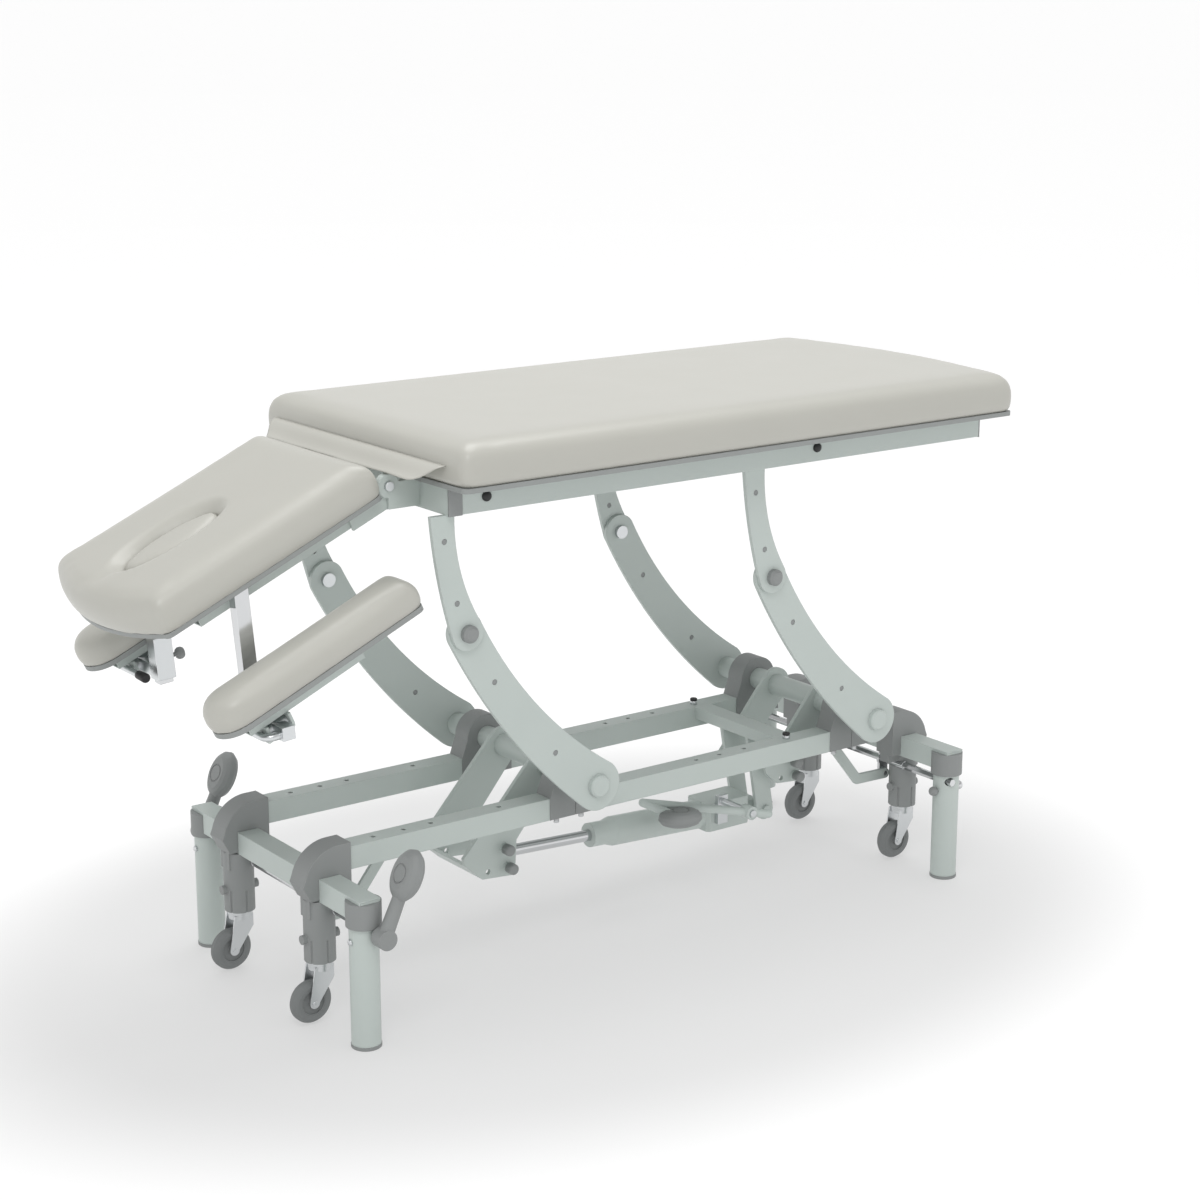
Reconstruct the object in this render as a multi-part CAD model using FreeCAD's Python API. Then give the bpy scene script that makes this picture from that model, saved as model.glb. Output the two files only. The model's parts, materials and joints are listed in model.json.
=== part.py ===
import FreeCAD, Part
import math
import os

# Height-adjustable treatment table: four-leg base with retractable castors, two pairs of curved
# lift arms driven by a foot-pumped cylinder, a flat main section and a tilting head section
# with a breathing hole and two low armrests. Millimetres, +X to the foot end, +Z up.

# Base frame
LEG_X = 656.0
LEG_Y = 271.5
LEG_RADIUS = 25.0
LEG_WALL = 3.0
LEG_RING_HEIGHT = 6.0
LEG_RING_LIP = 0.8
SHORT_LEG_BOTTOM = 38.0
CROSS_TUBE = 40.0
CROSS_TUBE_BOTTOM = 221.0
CROSS_TUBE_HALF = 293.0
TUBE_WALL = 2.5
COLLAR_RADIUS = 30.0
COLLAR_BOTTOM = 212.0
COLLAR_TOP = 255.0
RAIL = 40.0
RAIL_Y = 141.0
RAIL_BOTTOM = 264.0
RAIL_HOLE_RADIUS = 4.5
RAIL_HOLES_FROM_BLOCK = (95.0, 235.0, 290.0, 350.0)

# Levelling foot under the short leg
FOOT_PAD_RADIUS = 19.0
FOOT_PAD_HEIGHT = 15.0
FOOT_STEM_RADIUS = 7.0
FOOT_STEM_TOP = 95.0
FOOT_NUT_HEIGHT = 20.0
FOOT_NUT_RADIUS = 22.0

# Castor housings, stems, forks and wheels
HOUSING_X = 665.0
HOUSING_INNER_X = 614.0
HOUSING_OUTER_X = 706.0
HOUSING_TOP = 313.0
HOUSING_HALF = 23.0
COLUMN_RADIUS = 27.0
COLUMN_BOTTOM = 111.0
COLUMN_GROOVES = 6
COLUMN_GROOVE_RADIUS = 2.0
HOUSING_BOSS_RADIUS = 8.0
HOUSING_BOSS_REACH = 35.0
HOUSING_BOSS_Z = 152.0
TONGUE_TOP = 246.0
STEM_RADIUS = 8.0
STEM_TOP = 205.0
STEM_HEAD_RADIUS = 22.0
STEM_HEAD_HEIGHT = 7.0
CASTOR_DROP = 12.0
WHEEL_RADIUS = 37.5
WHEEL_WIDTH = 24.0
HUB_RADIUS = 24.0
WHEEL_LIFT = 3.0
WHEEL_TRAIL = 21.0
AXLE_RADIUS = 4.0
FORK_THICKNESS = 2.5
FORK_GAP = 1.5
FORK_TOP_RADIUS = 21.0
FORK_CROWN = 8.0
RUNNING = 0.05
SMALL_GAP = 0.3

# Castor lift: rods, pedals and the link between the ends
ROD_X = 645.0
ROD_Z = 200.0
ROD_RADIUS = 8.0
ROD_FLATS = 13.0
CRANK = 30.0
CRANK_THICKNESS = 6.0
CRANK_EYE = 11.0
LINK_PIN_RADIUS = 5.0
LINK_Y = 110.0
LINK_HEIGHT = 20.0
LINK_RUN_Z = 258.0
LINK_RISE_X = 590.0
LINK_RUN_HALF = 520.0
LINK_RUN_END = 500.0
LINK_DIP_X = 570.0
LINK_DIP_Z = 172.0
PEDAL_INNER = 304.0
PEDAL_BOSS_RADIUS = 17.0
PEDAL_BOSS_LENGTH = 26.0
PEDAL_ARM_TIP = 11.0
PEDAL_REACH = 108.0
PEDAL_ANGLE = 65.0
PEDAL_PAD_LONG = 44.0
PEDAL_PAD_SHORT = 33.0
PEDAL_PAD_THICK = 32.0
PEDAL_RING_RADIUS = 17.0
PEDAL_RING_WIDTH = 3.0
PEDAL_RING_DEPTH = 1.5

# Lift arms: lower pivots, top pivots and plate forms
PIVOT_X = (-152.0, 506.0)
PIVOT_Z = 337.0
ARM_RUN = -271.8
ARM_RISE = 320.3
TORQUE_RADIUS = 21.0
TORQUE_WALL = 4.0
TORQUE_CAP_RADIUS = 20.0
TORQUE_CAP_LENGTH = 10.0
ARM_INNER_Y = 222.0
ARM_THICKNESS = 8.0
ARM_TOP_RADIUS = 34.0
ARM_FOOT_RADIUS = 46.0
ARM_OUTER_SAG = 21.0
ARM_INNER_SAG = 27.0
ARM_HOLE_RADIUS = 5.0
ARM_HOLE_SHARES = (0.26, 0.72)
ARM_HOLE_SAG = 24.0
BLOCK_HALF = 55.0
BLOCK_HALF_Y = 21.0
BLOCK_TOP_RADIUS = 43.0
BLOCK_GROOVE = 1.5
LEVER_Y = 64.0
LEVER_THICKNESS = 8.0
LEVER_TOP_RADIUS = 34.0
LEVER_PINS = ((-93.0, -142.0), (-86.0, -179.0))
LEVER_HOLE = (-128.0, -180.0)
LEVER_OUTLINE = ((-24.0, 24.1), (-180.0, -146.0), (-176.0, -160.0), (-140.0, -192.0),
                 (-70.0, -198.0), (-66.0, -132.0), (22.4, -25.6))
LEVER_PIN_RADIUS = 9.0
LEVER_PIN_REACH = 20.0
LEVER_WEB = 6.0
FOOT_LEVER_SHARE = 0.78

# Hydraulic cylinder with its rod, pump block and foot pedal
CYLINDER_SLOPE = -0.05
ROD_EYE_RADIUS = 16.0
ROD_EYE_WIDTH = 24.0
PISTON_RADIUS = 11.0
PISTON_INNER_END = 62.0
BARREL_START = -6.0
BARREL_END = 300.0
BARREL_RADIUS = 28.0
BARREL_NECK_RADIUS = 23.0
BARREL_NECK_LENGTH = 34.0
BARREL_BORE_END = 276.0
CYLINDER_PIN_X = 392.0
CYLINDER_PIN_RADIUS = 9.0
PUMP_BLOCK_HALF_Y = 34.0
PUMP_BLOCK_LOW = 26.0
PUMP_BLOCK_HIGH = 30.0
BRACKET_X = 392.0
BRACKET_TUBE_X = 365.0
BRACKET_TUBE_BOTTOM = 281.0
BRACKET_PLATE = 8.0
BRACKET_LOBE = 20.0
PUMP_PIVOT_X = 284.0
PUMP_PIVOT_Z = 166.0
PUMP_PIN_RADIUS = 7.0
PUMP_BAR_RADIUS = 8.0
PUMP_BAR_POINTS = ((322.0, -134.0, 158.0), (84.0, -50.0, 206.0), (133.0, -102.0, 181.0))
PUMP_BOSS_RADIUS = 13.0
PUMP_PAD_LONG = 42.0
PUMP_PAD_SHORT = 30.0
PUMP_PAD_THICK = 30.0

# Upper frame
UPPER_RAIL_BOTTOM = 862.0
UPPER_RAIL_HEIGHT = 50.0
UPPER_RAIL_WIDTH = 25.0
UPPER_RAIL_OUTER = 250.0
UPPER_TUBE_X = -465.0
UPPER_RAIL_END = 730.0
UPPER_FOOT_TUBE_X = 660.0
UPPER_WALL = 2.0
END_CAP = 3.0
UPPER_PLATE_RADIUS = 30.0
UPPER_PLATE_TOP = (-70.0, -24.0)
UPPER_PLATE_MID = (-57.0, -13.0)
UPPER_PLATE_MID_Z = 106.0
UPPER_HOLES = ((-44.0, 161.0), (-21.0, 54.0))
PIVOT_BOLT_RADIUS = 8.0
PIVOT_HEAD_RADIUS = 13.0
PIVOT_HEAD_HEIGHT = 7.0
PIVOT_CAP_RADIUS = 15.0
PIVOT_CAP_HEIGHT = 14.0

# Main section
MAIN_HEAD_X = -489.0
MAIN_FOOT_X = 753.0
MAIN_FOOT_SAG = 42.0
MAIN_HALF = 330.0
MAIN_CORNER = 20.0
BOARD_INSET = 7.0
BOARD_THICKNESS = 8.0
MAIN_CUSHION_THICKNESS = 70.0

# Head section, set 23.9 degrees below level, and its hinge
HEAD_TILT = 23.9
HINGE_X = -525.0
HINGE_Z = 905.0
HINGE_TO_BOARD_U = 25.0
HINGE_ABOVE_BOARD = 6.0
HINGE_PIN_RADIUS = 8.0
HINGE_PLATE_RADIUS = 40.0
HINGE_PLATE = 6.0
HINGE_Y = 150.0
HINGE_EAR_RADIUS = 20.0
HEAD_START = -8.0
HEAD_END = 434.0
HEAD_SAG = 36.0
HEAD_HALF = 187.0
HEAD_CORNER = 18.0
HEAD_CUSHION_THICKNESS = 64.0
HEAD_TUBE_WIDTH = 20.0
HEAD_TUBE_HEIGHT = 26.0
HEAD_TUBE_END = 360.0
HOLE_U = 292.0
HOLE_LONG = 92.0
HOLE_WIDE = 40.0
PLUG_DEPTH = 42.0
PLUG_SINK = 7.0
PLUG_GAP = 1.0
POST_Y = 160.0
POST_U = 282.0
POST_LEAN = 18.7
POST_DEPTH = 25.0
POST_WIDTH = 20.0
POST_LENGTH = 229.0
POST_CAP = 4.0

# Armrests, parallel to the head section
PAD_Y = 235.0
PAD_HALF = 46.0
PAD_START = 46.0
PAD_END = 400.0
PAD_NOSE = 50.0
PAD_CORNER = 16.0
PAD_BOTTOM = -159.0
PAD_BOARD = 9.0
PAD_THICKNESS = 51.0
SLEEVE_WALL = 4.0
SLEEVE_TOP = 150.0
SLEEVE_LENGTH = 75.0
SLEEVE_PLAY = 0.1
ARM_BAR = 22.0
PAD_TUBE = 25.0
PAD_TUBE_START = 170.0
PAD_TUBE_END = 398.0
LOBE_U = (329.0, 372.0)
LOBE_PLATE = 5.0
LOBE_HALF = 20.0
LOBE_DROP = 34.0
TILT_PIN_RADIUS = 6.0
GRAB_RADIUS = 6.0
GRAB_FORWARD = 34.0
GRAB_DROP = 3.0
GRAB_OVERLAP = 2.0
GRAB_REACH = 105.0

# Gap cover between the main and head sections
FLAP_HALF = 277.0
FLAP_THICKNESS = 2.0
FLAP_TOP_Z = 951.0
FLAP_LENGTH = 23.0
FLAP_STAND = 11.0

X_AXIS = FreeCAD.Vector(1, 0, 0)
Y_AXIS = FreeCAD.Vector(0, 1, 0)
Z_AXIS = FreeCAD.Vector(0, 0, 1)
CROSS_TUBE_TOP = CROSS_TUBE_BOTTOM + CROSS_TUBE
RAIL_TOP = RAIL_BOTTOM + RAIL
ARM_OUTER_Y = ARM_INNER_Y + ARM_THICKNESS
PLATE_INNER_Y = ARM_OUTER_Y + SMALL_GAP
PLATE_OUTER_Y = PLATE_INNER_Y + ARM_THICKNESS
TOP_PIVOT_X = tuple(x + ARM_RUN for x in PIVOT_X)
TOP_PIVOT_Z = PIVOT_Z + ARM_RISE
UPPER_RAIL_TOP = UPPER_RAIL_BOTTOM + UPPER_RAIL_HEIGHT
UPPER_RAIL_INNER = UPPER_RAIL_OUTER - UPPER_RAIL_WIDTH
UPPER_RAIL_START = UPPER_TUBE_X + UPPER_RAIL_WIDTH
BOARD_TOP = UPPER_RAIL_TOP + BOARD_THICKNESS
WHEEL_Z = WHEEL_RADIUS + WHEEL_LIFT
FORK_TOP = COLUMN_BOTTOM - STEM_HEAD_HEIGHT - SMALL_GAP
EYE_X = PIVOT_X[0] + LEVER_PINS[1][0]
EYE_Z = PIVOT_Z + LEVER_PINS[1][1]
CYLINDER_PIN_Z = EYE_Z + CYLINDER_SLOPE * (CYLINDER_PIN_X - EYE_X)
LINK_PIN_Z = ROD_Z - CRANK


def vec(x, y, z):
    return FreeCAD.Vector(x, y, z)


def block(x, y, z):
    """A box between two x, two y and two z values."""
    corner = vec(min(x), min(y), min(z))
    return Part.makeBox(abs(x[1] - x[0]), abs(y[1] - y[0]), abs(z[1] - z[0]), corner)


def bar(start, end, radius):
    """A round bar between two points."""
    return Part.makeCylinder(radius, (end - start).Length, start, end - start)


def tube(x, y, z, wall, along):
    """A square or flat tube, open at both ends along the named axis."""
    outer = {"x": x, "y": y, "z": z}
    inner = {}
    for name, span in outer.items():
        low, high = min(span), max(span)
        step = -1.0 if name == along else wall
        inner[name] = (low + step, high - step)
    return block(x, y, z).cut(block(inner["x"], inner["y"], inner["z"]))


def flat_face(edges):
    """A face bounded by edges given in order or out of order."""
    return Part.Face(Part.Wire(Part.__sortEdges__(edges)))


def polygon(points):
    """Straight edges through the points and back to the first."""
    return [Part.LineSegment(a, b).toShape() for a, b in zip(points, points[1:] + points[:1])]


def arc(a, b, c):
    return Part.Arc(a, b, c).toShape()


def line(a, b):
    return Part.LineSegment(a, b).toShape()


def slab(face, low, high):
    """A face drawn on y = 0, pushed from one y to another."""
    face.translate(vec(0, low, 0))
    return face.extrude(vec(0, high - low, 0))


def both_sides(shape):
    """The shape and its mirror image across the table's centre line."""
    return [shape, shape.mirror(vec(0, 0, 0), Y_AXIS)]


def bevelled(shape, size, chosen):
    """Chamfer the edges that a test picks."""
    edges = [e for e in shape.Edges if chosen(e)]
    return shape.makeChamfer(size, edges)


def legs():
    solids = []
    for sx in (-1, 1):
        for sy in (-1, 1):
            short = sx > 0 and sy > 0
            low = SHORT_LEG_BOTTOM if short else LEG_RING_HEIGHT
            base = vec(sx * LEG_X, sy * LEG_Y, low)
            length = CROSS_TUBE_BOTTOM - low
            leg = Part.makeCylinder(LEG_RADIUS, length, base)
            leg = leg.cut(Part.makeCylinder(LEG_RADIUS - LEG_WALL, length, base))
            start = vec(sx * ROD_X, sy * LEG_Y - LEG_RADIUS - 1, ROD_Z)
            leg = leg.cut(bar(start, start + Y_AXIS * (2 * LEG_RADIUS + 2), ROD_RADIUS + SMALL_GAP))
            solids.append(leg)
    return solids


def leg_rings():
    """Moulded rings that close the three plain legs at the floor."""
    solids = []
    for sx, sy in ((-1, -1), (-1, 1), (1, -1)):
        base = vec(sx * LEG_X, sy * LEG_Y, 0)
        ring = Part.makeCylinder(LEG_RADIUS + LEG_RING_LIP, LEG_RING_HEIGHT, base)
        solids.append(bevelled(ring, LEG_RING_LIP, lambda e: e.BoundBox.ZMax < 0.1))
    nut_base = vec(LEG_X, LEG_Y, SHORT_LEG_BOTTOM)
    nut = Part.makeCylinder(FOOT_NUT_RADIUS, FOOT_NUT_HEIGHT, nut_base)
    bore = Part.makeCylinder(FOOT_STEM_RADIUS + RUNNING, FOOT_NUT_HEIGHT, nut_base)
    solids.append(nut.cut(bore))
    return solids


def levelling_foot():
    base = vec(LEG_X, LEG_Y, 0)
    pad = Part.makeCone(FOOT_PAD_RADIUS, FOOT_STEM_RADIUS + 4, FOOT_PAD_HEIGHT, base)
    stem = Part.makeCylinder(FOOT_STEM_RADIUS, FOOT_STEM_TOP, base)
    return [pad.fuse(stem).removeSplitter()]


def cross_tube(sx):
    x = (sx * LEG_X - CROSS_TUBE / 2, sx * LEG_X + CROSS_TUBE / 2)
    y = (-CROSS_TUBE_HALF, CROSS_TUBE_HALF)
    return [tube(x, y, (CROSS_TUBE_BOTTOM, CROSS_TUBE_TOP), TUBE_WALL, "y")]


def leg_collars():
    solids = []
    for sx in (-1, 1):
        for sy in (-1, 1):
            base = vec(sx * LEG_X, sy * LEG_Y, COLLAR_BOTTOM)
            collar = Part.makeCylinder(COLLAR_RADIUS, COLLAR_TOP - COLLAR_BOTTOM, base)
            collar = collar.cut(Part.makeCylinder(LEG_RADIUS, CROSS_TUBE_BOTTOM - COLLAR_BOTTOM, base))
            x = (sx * LEG_X - CROSS_TUBE / 2, sx * LEG_X + CROSS_TUBE / 2)
            slot = block(x, (0, sy * CROSS_TUBE_HALF), (CROSS_TUBE_BOTTOM, COLLAR_TOP + 1))
            solids.append(collar.cut(slot))
    return solids


def drilled_rail(start, end, hole_places):
    """One length of side rail with plain holes through its top wall."""
    rail = tube((start, end), (RAIL_Y - RAIL / 2, RAIL_Y + RAIL / 2), (RAIL_BOTTOM, RAIL_TOP), TUBE_WALL, "x")
    for x in hole_places:
        rail = rail.cut(Part.makeCylinder(RAIL_HOLE_RADIUS, RAIL / 2, vec(x, RAIL_Y, RAIL_TOP - RAIL / 2 + 1)))
    return both_sides(rail)


def side_rails():
    head_stop = PIVOT_X[0] - BLOCK_HALF
    head = drilled_rail(-HOUSING_INNER_X, head_stop, [head_stop - d for d in RAIL_HOLES_FROM_BLOCK])
    start, stop = PIVOT_X[0] + BLOCK_HALF, PIVOT_X[1] - BLOCK_HALF
    middle = drilled_rail(start, stop, [start + d for d in RAIL_HOLES_FROM_BLOCK[1:]])
    return head + middle


def pivot_blocks():
    """Split bearing blocks that join the rail lengths and carry the torque tubes."""
    solids = []
    for px in PIVOT_X:
        low, high = RAIL_Y - BLOCK_HALF_Y, RAIL_Y + BLOCK_HALF_Y
        foot = [vec(px - BLOCK_HALF, 0, RAIL_BOTTOM), vec(px + BLOCK_HALF, 0, RAIL_BOTTOM),
                vec(px + BLOCK_HALF, 0, RAIL_TOP), vec(px + BLOCK_TOP_RADIUS, 0, PIVOT_Z),
                vec(px - BLOCK_TOP_RADIUS, 0, PIVOT_Z), vec(px - BLOCK_HALF, 0, RAIL_TOP)]
        body = slab(flat_face(polygon(foot)), low, high)
        centre = vec(px, low, PIVOT_Z)
        width = high - low
        body = body.fuse(Part.makeCylinder(BLOCK_TOP_RADIUS, width, centre, Y_AXIS)).removeSplitter()
        body = body.cut(Part.makeCylinder(TORQUE_RADIUS + RUNNING, width, centre, Y_AXIS))
        groove = block((px - BLOCK_GROOVE / 2, px + BLOCK_GROOVE / 2), (high - BLOCK_GROOVE, high + 1),
                       (RAIL_BOTTOM - 1, PIVOT_Z - TORQUE_RADIUS - 4))
        solids += both_sides(body.cut(groove))
    return solids


def castor_housing(sx):
    """A moulded hood over the rail's end, a saddle on the cross tube and a ribbed column."""
    def at(x, z):
        return vec(sx * x, 0, z)
    saddle_low = CROSS_TUBE_BOTTOM + 3
    hood = [line(at(HOUSING_INNER_X, saddle_low), at(HOUSING_INNER_X, HOUSING_TOP)),
            line(at(HOUSING_INNER_X, HOUSING_TOP), at(HOUSING_INNER_X + 22, HOUSING_TOP)),
            arc(at(HOUSING_INNER_X + 22, HOUSING_TOP), at(HOUSING_OUTER_X - 22, HOUSING_TOP - 20),
                at(HOUSING_OUTER_X - 4, CROSS_TUBE_TOP)),
            line(at(HOUSING_OUTER_X - 4, CROSS_TUBE_TOP), at(HOUSING_OUTER_X, CROSS_TUBE_TOP - 10)),
            line(at(HOUSING_OUTER_X, CROSS_TUBE_TOP - 10), at(HOUSING_OUTER_X - 14, saddle_low)),
            line(at(HOUSING_OUTER_X - 14, saddle_low), at(HOUSING_INNER_X, saddle_low))]
    body = slab(flat_face(hood), RAIL_Y - HOUSING_HALF, RAIL_Y + HOUSING_HALF)
    base = vec(sx * HOUSING_X, RAIL_Y, COLUMN_BOTTOM)
    column = Part.makeCylinder(COLUMN_RADIUS, CROSS_TUBE_BOTTOM - COLUMN_BOTTOM, base)
    for i in range(COLUMN_GROOVES):
        turn = 2 * math.pi * (i + 0.5) / COLUMN_GROOVES
        spot = base + vec(COLUMN_RADIUS * math.cos(turn), COLUMN_RADIUS * math.sin(turn), 0)
        column = column.cut(Part.makeCylinder(COLUMN_GROOVE_RADIUS, HOUSING_BOSS_Z - COLUMN_BOTTOM, spot))
    tongue_in = sx * (LEG_X + CROSS_TUBE / 2)
    tongue = block((tongue_in, sx * (HOUSING_X + COLUMN_RADIUS - 1)), (RAIL_Y - 15, RAIL_Y + 15),
                   (CROSS_TUBE_BOTTOM - 30, TONGUE_TOP))
    reach = X_AXIS * HOUSING_BOSS_REACH
    boss_centre = vec(sx * HOUSING_X, RAIL_Y, HOUSING_BOSS_Z)
    boss = bar(boss_centre - reach, boss_centre + reach, HOUSING_BOSS_RADIUS)
    inner_web = block((sx * HOUSING_INNER_X, sx * HOUSING_X), (RAIL_Y - 12, RAIL_Y + 12),
                      (CROSS_TUBE_BOTTOM - 14, saddle_low + 1))
    body = body.fuse([column, tongue, boss, inner_web]).removeSplitter()
    x = (sx * LEG_X - CROSS_TUBE / 2, sx * LEG_X + CROSS_TUBE / 2)
    body = body.cut(block(x, (0, CROSS_TUBE_HALF), (CROSS_TUBE_BOTTOM, CROSS_TUBE_TOP)))
    body = body.cut(Part.makeCylinder(STEM_RADIUS + RUNNING, CROSS_TUBE_BOTTOM - COLUMN_BOTTOM, base))
    rod_start = vec(sx * ROD_X, RAIL_Y - 50, ROD_Z)
    return body.cut(bar(rod_start, rod_start + Y_AXIS * 100, ROD_RADIUS + RUNNING))


def castor_housings():
    return both_sides(castor_housing(-1)) + both_sides(castor_housing(1))


def castor_stems():
    """The four sliding stems with their swivel heads, lowered together by the rods."""
    solids = []
    for sx in (-1, 1):
        head_base = vec(sx * HOUSING_X, RAIL_Y, COLUMN_BOTTOM - STEM_HEAD_HEIGHT - SMALL_GAP)
        head = Part.makeCylinder(STEM_HEAD_RADIUS, STEM_HEAD_HEIGHT, head_base)
        stem = Part.makeCylinder(STEM_RADIUS, STEM_TOP - head_base.z, head_base)
        bore = Part.makeCylinder(AXLE_RADIUS + RUNNING, STEM_HEAD_HEIGHT * 2, head_base)
        solids += both_sides(head.fuse(stem).removeSplitter().cut(bore))
    return solids


def castor_fork(sx, sy):
    """A pressed fork on a swivel pin, trailing towards the head end, with its axle."""
    cx, cy = sx * HOUSING_X, sy * RAIL_Y
    wheel_x = cx - WHEEL_TRAIL
    top = FORK_TOP - SMALL_GAP
    crown = Part.makeCylinder(FORK_TOP_RADIUS, FORK_CROWN, vec(cx, cy, top - FORK_CROWN))
    pin = Part.makeCylinder(AXLE_RADIUS, STEM_HEAD_HEIGHT + SMALL_GAP, vec(cx, cy, top))
    half = WHEEL_WIDTH / 2 + FORK_GAP
    low = top - FORK_CROWN
    eye = 9.0
    side = [line(vec(cx + 17, 0, top), vec(cx - 19, 0, top)),
            line(vec(cx - 19, 0, top), vec(wheel_x - eye, 0, WHEEL_Z)),
            arc(vec(wheel_x - eye, 0, WHEEL_Z), vec(wheel_x, 0, WHEEL_Z - eye), vec(wheel_x + eye, 0, WHEEL_Z)),
            line(vec(wheel_x + eye, 0, WHEEL_Z), vec(cx + 17, 0, low - 14)),
            line(vec(cx + 17, 0, low - 14), vec(cx + 17, 0, top))]
    fork = crown.fuse(pin)
    for sign in (-1, 1):
        plate = slab(flat_face(side), 0, sign * FORK_THICKNESS)
        plate.translate(vec(0, cy + sign * half, 0))
        fork = fork.fuse(plate)
        side = [e.copy() for e in side]
        for e in side:
            e.translate(vec(0, -e.BoundBox.YMin, 0))
    reach = half + FORK_THICKNESS
    axle = bar(vec(wheel_x, cy - reach - 2, WHEEL_Z), vec(wheel_x, cy + reach + 2, WHEEL_Z), AXLE_RADIUS)
    return [fork.fuse(axle).removeSplitter()]


def castor_wheel(sx, sy):
    """A hub with a shouldered web and a moulded tyre round it."""
    half = WHEEL_WIDTH / 2
    bore = AXLE_RADIUS + RUNNING
    centre = vec(sx * HOUSING_X - WHEEL_TRAIL, sy * RAIL_Y, WHEEL_Z)

    def spun(points):
        face = flat_face(polygon([vec(r, y, 0) for r, y in points]))
        solid = face.revolve(vec(0, 0, 0), Y_AXIS, 360)
        solid.translate(centre)
        return solid
    hub = spun([(bore, -half - 1), (9, -half - 1), (9, -half + 4), (HUB_RADIUS - 4, -half + 4),
                (HUB_RADIUS - 3, -half + 1), (HUB_RADIUS, -half + 1), (HUB_RADIUS, half - 1),
                (HUB_RADIUS - 3, half - 1), (HUB_RADIUS - 4, half - 4), (9, half - 4),
                (9, half + 1), (bore, half + 1)])
    tyre = spun([(HUB_RADIUS, -half + 0.5), (HUB_RADIUS + 5, -half), (WHEEL_RADIUS - 4, -half + 2),
                 (WHEEL_RADIUS, -half + 8), (WHEEL_RADIUS, half - 8), (WHEEL_RADIUS - 4, half - 2),
                 (HUB_RADIUS + 5, half), (HUB_RADIUS, half - 0.5)])
    return [hub, tyre]


def hex_bar(x, y_low, y_high):
    """A six-sided bar along Y at the rod height."""
    reach = ROD_FLATS / 2 / math.cos(math.pi / 6)
    points = []
    for i in range(6):
        turn = math.pi / 3 * i
        points.append(vec(x + reach * math.cos(turn), 0, ROD_Z + reach * math.sin(turn)))
    return slab(flat_face(polygon(points)), y_low, y_high)


def castor_rod(sx, reach):
    """A hexagon rod with round journals in the housings and a crank for the link."""
    x = sx * ROD_X
    body = hex_bar(x, -reach, reach)
    half = HOUSING_HALF + 2
    for sy in (-1, 1):
        start = vec(x, sy * RAIL_Y - half, ROD_Z)
        body = body.fuse(bar(start, start + Y_AXIS * 2 * half, ROD_RADIUS))
    inner = -LINK_Y + CRANK_THICKNESS / 2 + SMALL_GAP
    outer = inner + CRANK_THICKNESS
    eye_low, eye_high = vec(x, inner, LINK_PIN_Z), vec(x, outer, LINK_PIN_Z)
    crank = bar(eye_low, eye_high, CRANK_EYE)
    crank = crank.fuse(bar(vec(x, inner, ROD_Z), vec(x, outer, ROD_Z), CRANK_EYE + 3))
    crank = crank.fuse(block((x - CRANK_EYE, x + CRANK_EYE), (inner, outer), (LINK_PIN_Z, ROD_Z)))
    pin = bar(vec(x, -LINK_Y - CRANK_THICKNESS / 2 - SMALL_GAP, LINK_PIN_Z), eye_low, LINK_PIN_RADIUS)
    return [body.fuse([crank, pin]).removeSplitter()]


def castor_link():
    """A bent flat bar that couples the two rods, dipped at each end to reach the cranks."""
    low, high = -LINK_Y - CRANK_THICKNESS / 2, -LINK_Y + CRANK_THICKNESS / 2
    half = LINK_HEIGHT / 2
    path = [(-ROD_X, LINK_PIN_Z), (-LINK_RISE_X, LINK_PIN_Z), (-LINK_RUN_HALF, LINK_RUN_Z),
            (LINK_RUN_END, LINK_RUN_Z), (LINK_DIP_X, LINK_DIP_Z), (ROD_X, LINK_PIN_Z)]
    body = None
    for (ax, az), (bx, bz) in zip(path, path[1:]):
        run = vec(bx - ax, 0, bz - az)
        side = vec(-run.z, 0, run.x).normalize() * half
        a, b = vec(ax, 0, az), vec(bx, 0, bz)
        leg = slab(flat_face(polygon([a - side, b - side, b + side, a + side])), low, high)
        body = leg if body is None else body.fuse(leg)
    for x, z in path:
        body = body.fuse(bar(vec(x, low, z), vec(x, high, z), half))
    for x in (-ROD_X, ROD_X):
        body = body.cut(bar(vec(x, low, LINK_PIN_Z), vec(x, high, LINK_PIN_Z), LINK_PIN_RADIUS + RUNNING))
    return [body.removeSplitter()]


def oval(half_long, half_short, z):
    """Six arcs that close to an oval about the Z axis."""
    def on_oval(degrees):
        turn = math.radians(degrees)
        return vec(half_long * math.cos(turn), half_short * math.sin(turn), z)
    return [arc(on_oval(d - 30), on_oval(d), on_oval(d + 30)) for d in range(0, 360, 60)]


def oval_pad(centre, along, normal, half_long, half_short, thick):
    """A moulded foot pad: an oval dome with a soft edge and a plain ring pressed into its face."""
    across = normal.cross(along)
    frame = FreeCAD.Matrix(along.x, across.x, normal.x, centre.x,
                           along.y, across.y, normal.y, centre.y,
                           along.z, across.z, normal.z, centre.z, 0, 0, 0, 1)
    levels = ((-0.50, 0.62), (-0.36, 0.86), (-0.10, 1.0), (0.18, 0.97), (0.38, 0.84), (0.50, 0.66))
    wires = [Part.Wire(oval(half_long * share, half_short * share, height * thick)) for height, share in levels]
    pad = Part.makeLoft(wires, True, True)
    top = vec(0, 0, thick / 2 - PEDAL_RING_DEPTH)
    ring = Part.makeCylinder(PEDAL_RING_RADIUS, thick, top)
    ring = ring.cut(Part.makeCylinder(PEDAL_RING_RADIUS - PEDAL_RING_WIDTH, thick, top))
    pad = pad.cut(ring)
    pad.Placement = FreeCAD.Placement(frame)
    return pad


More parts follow.
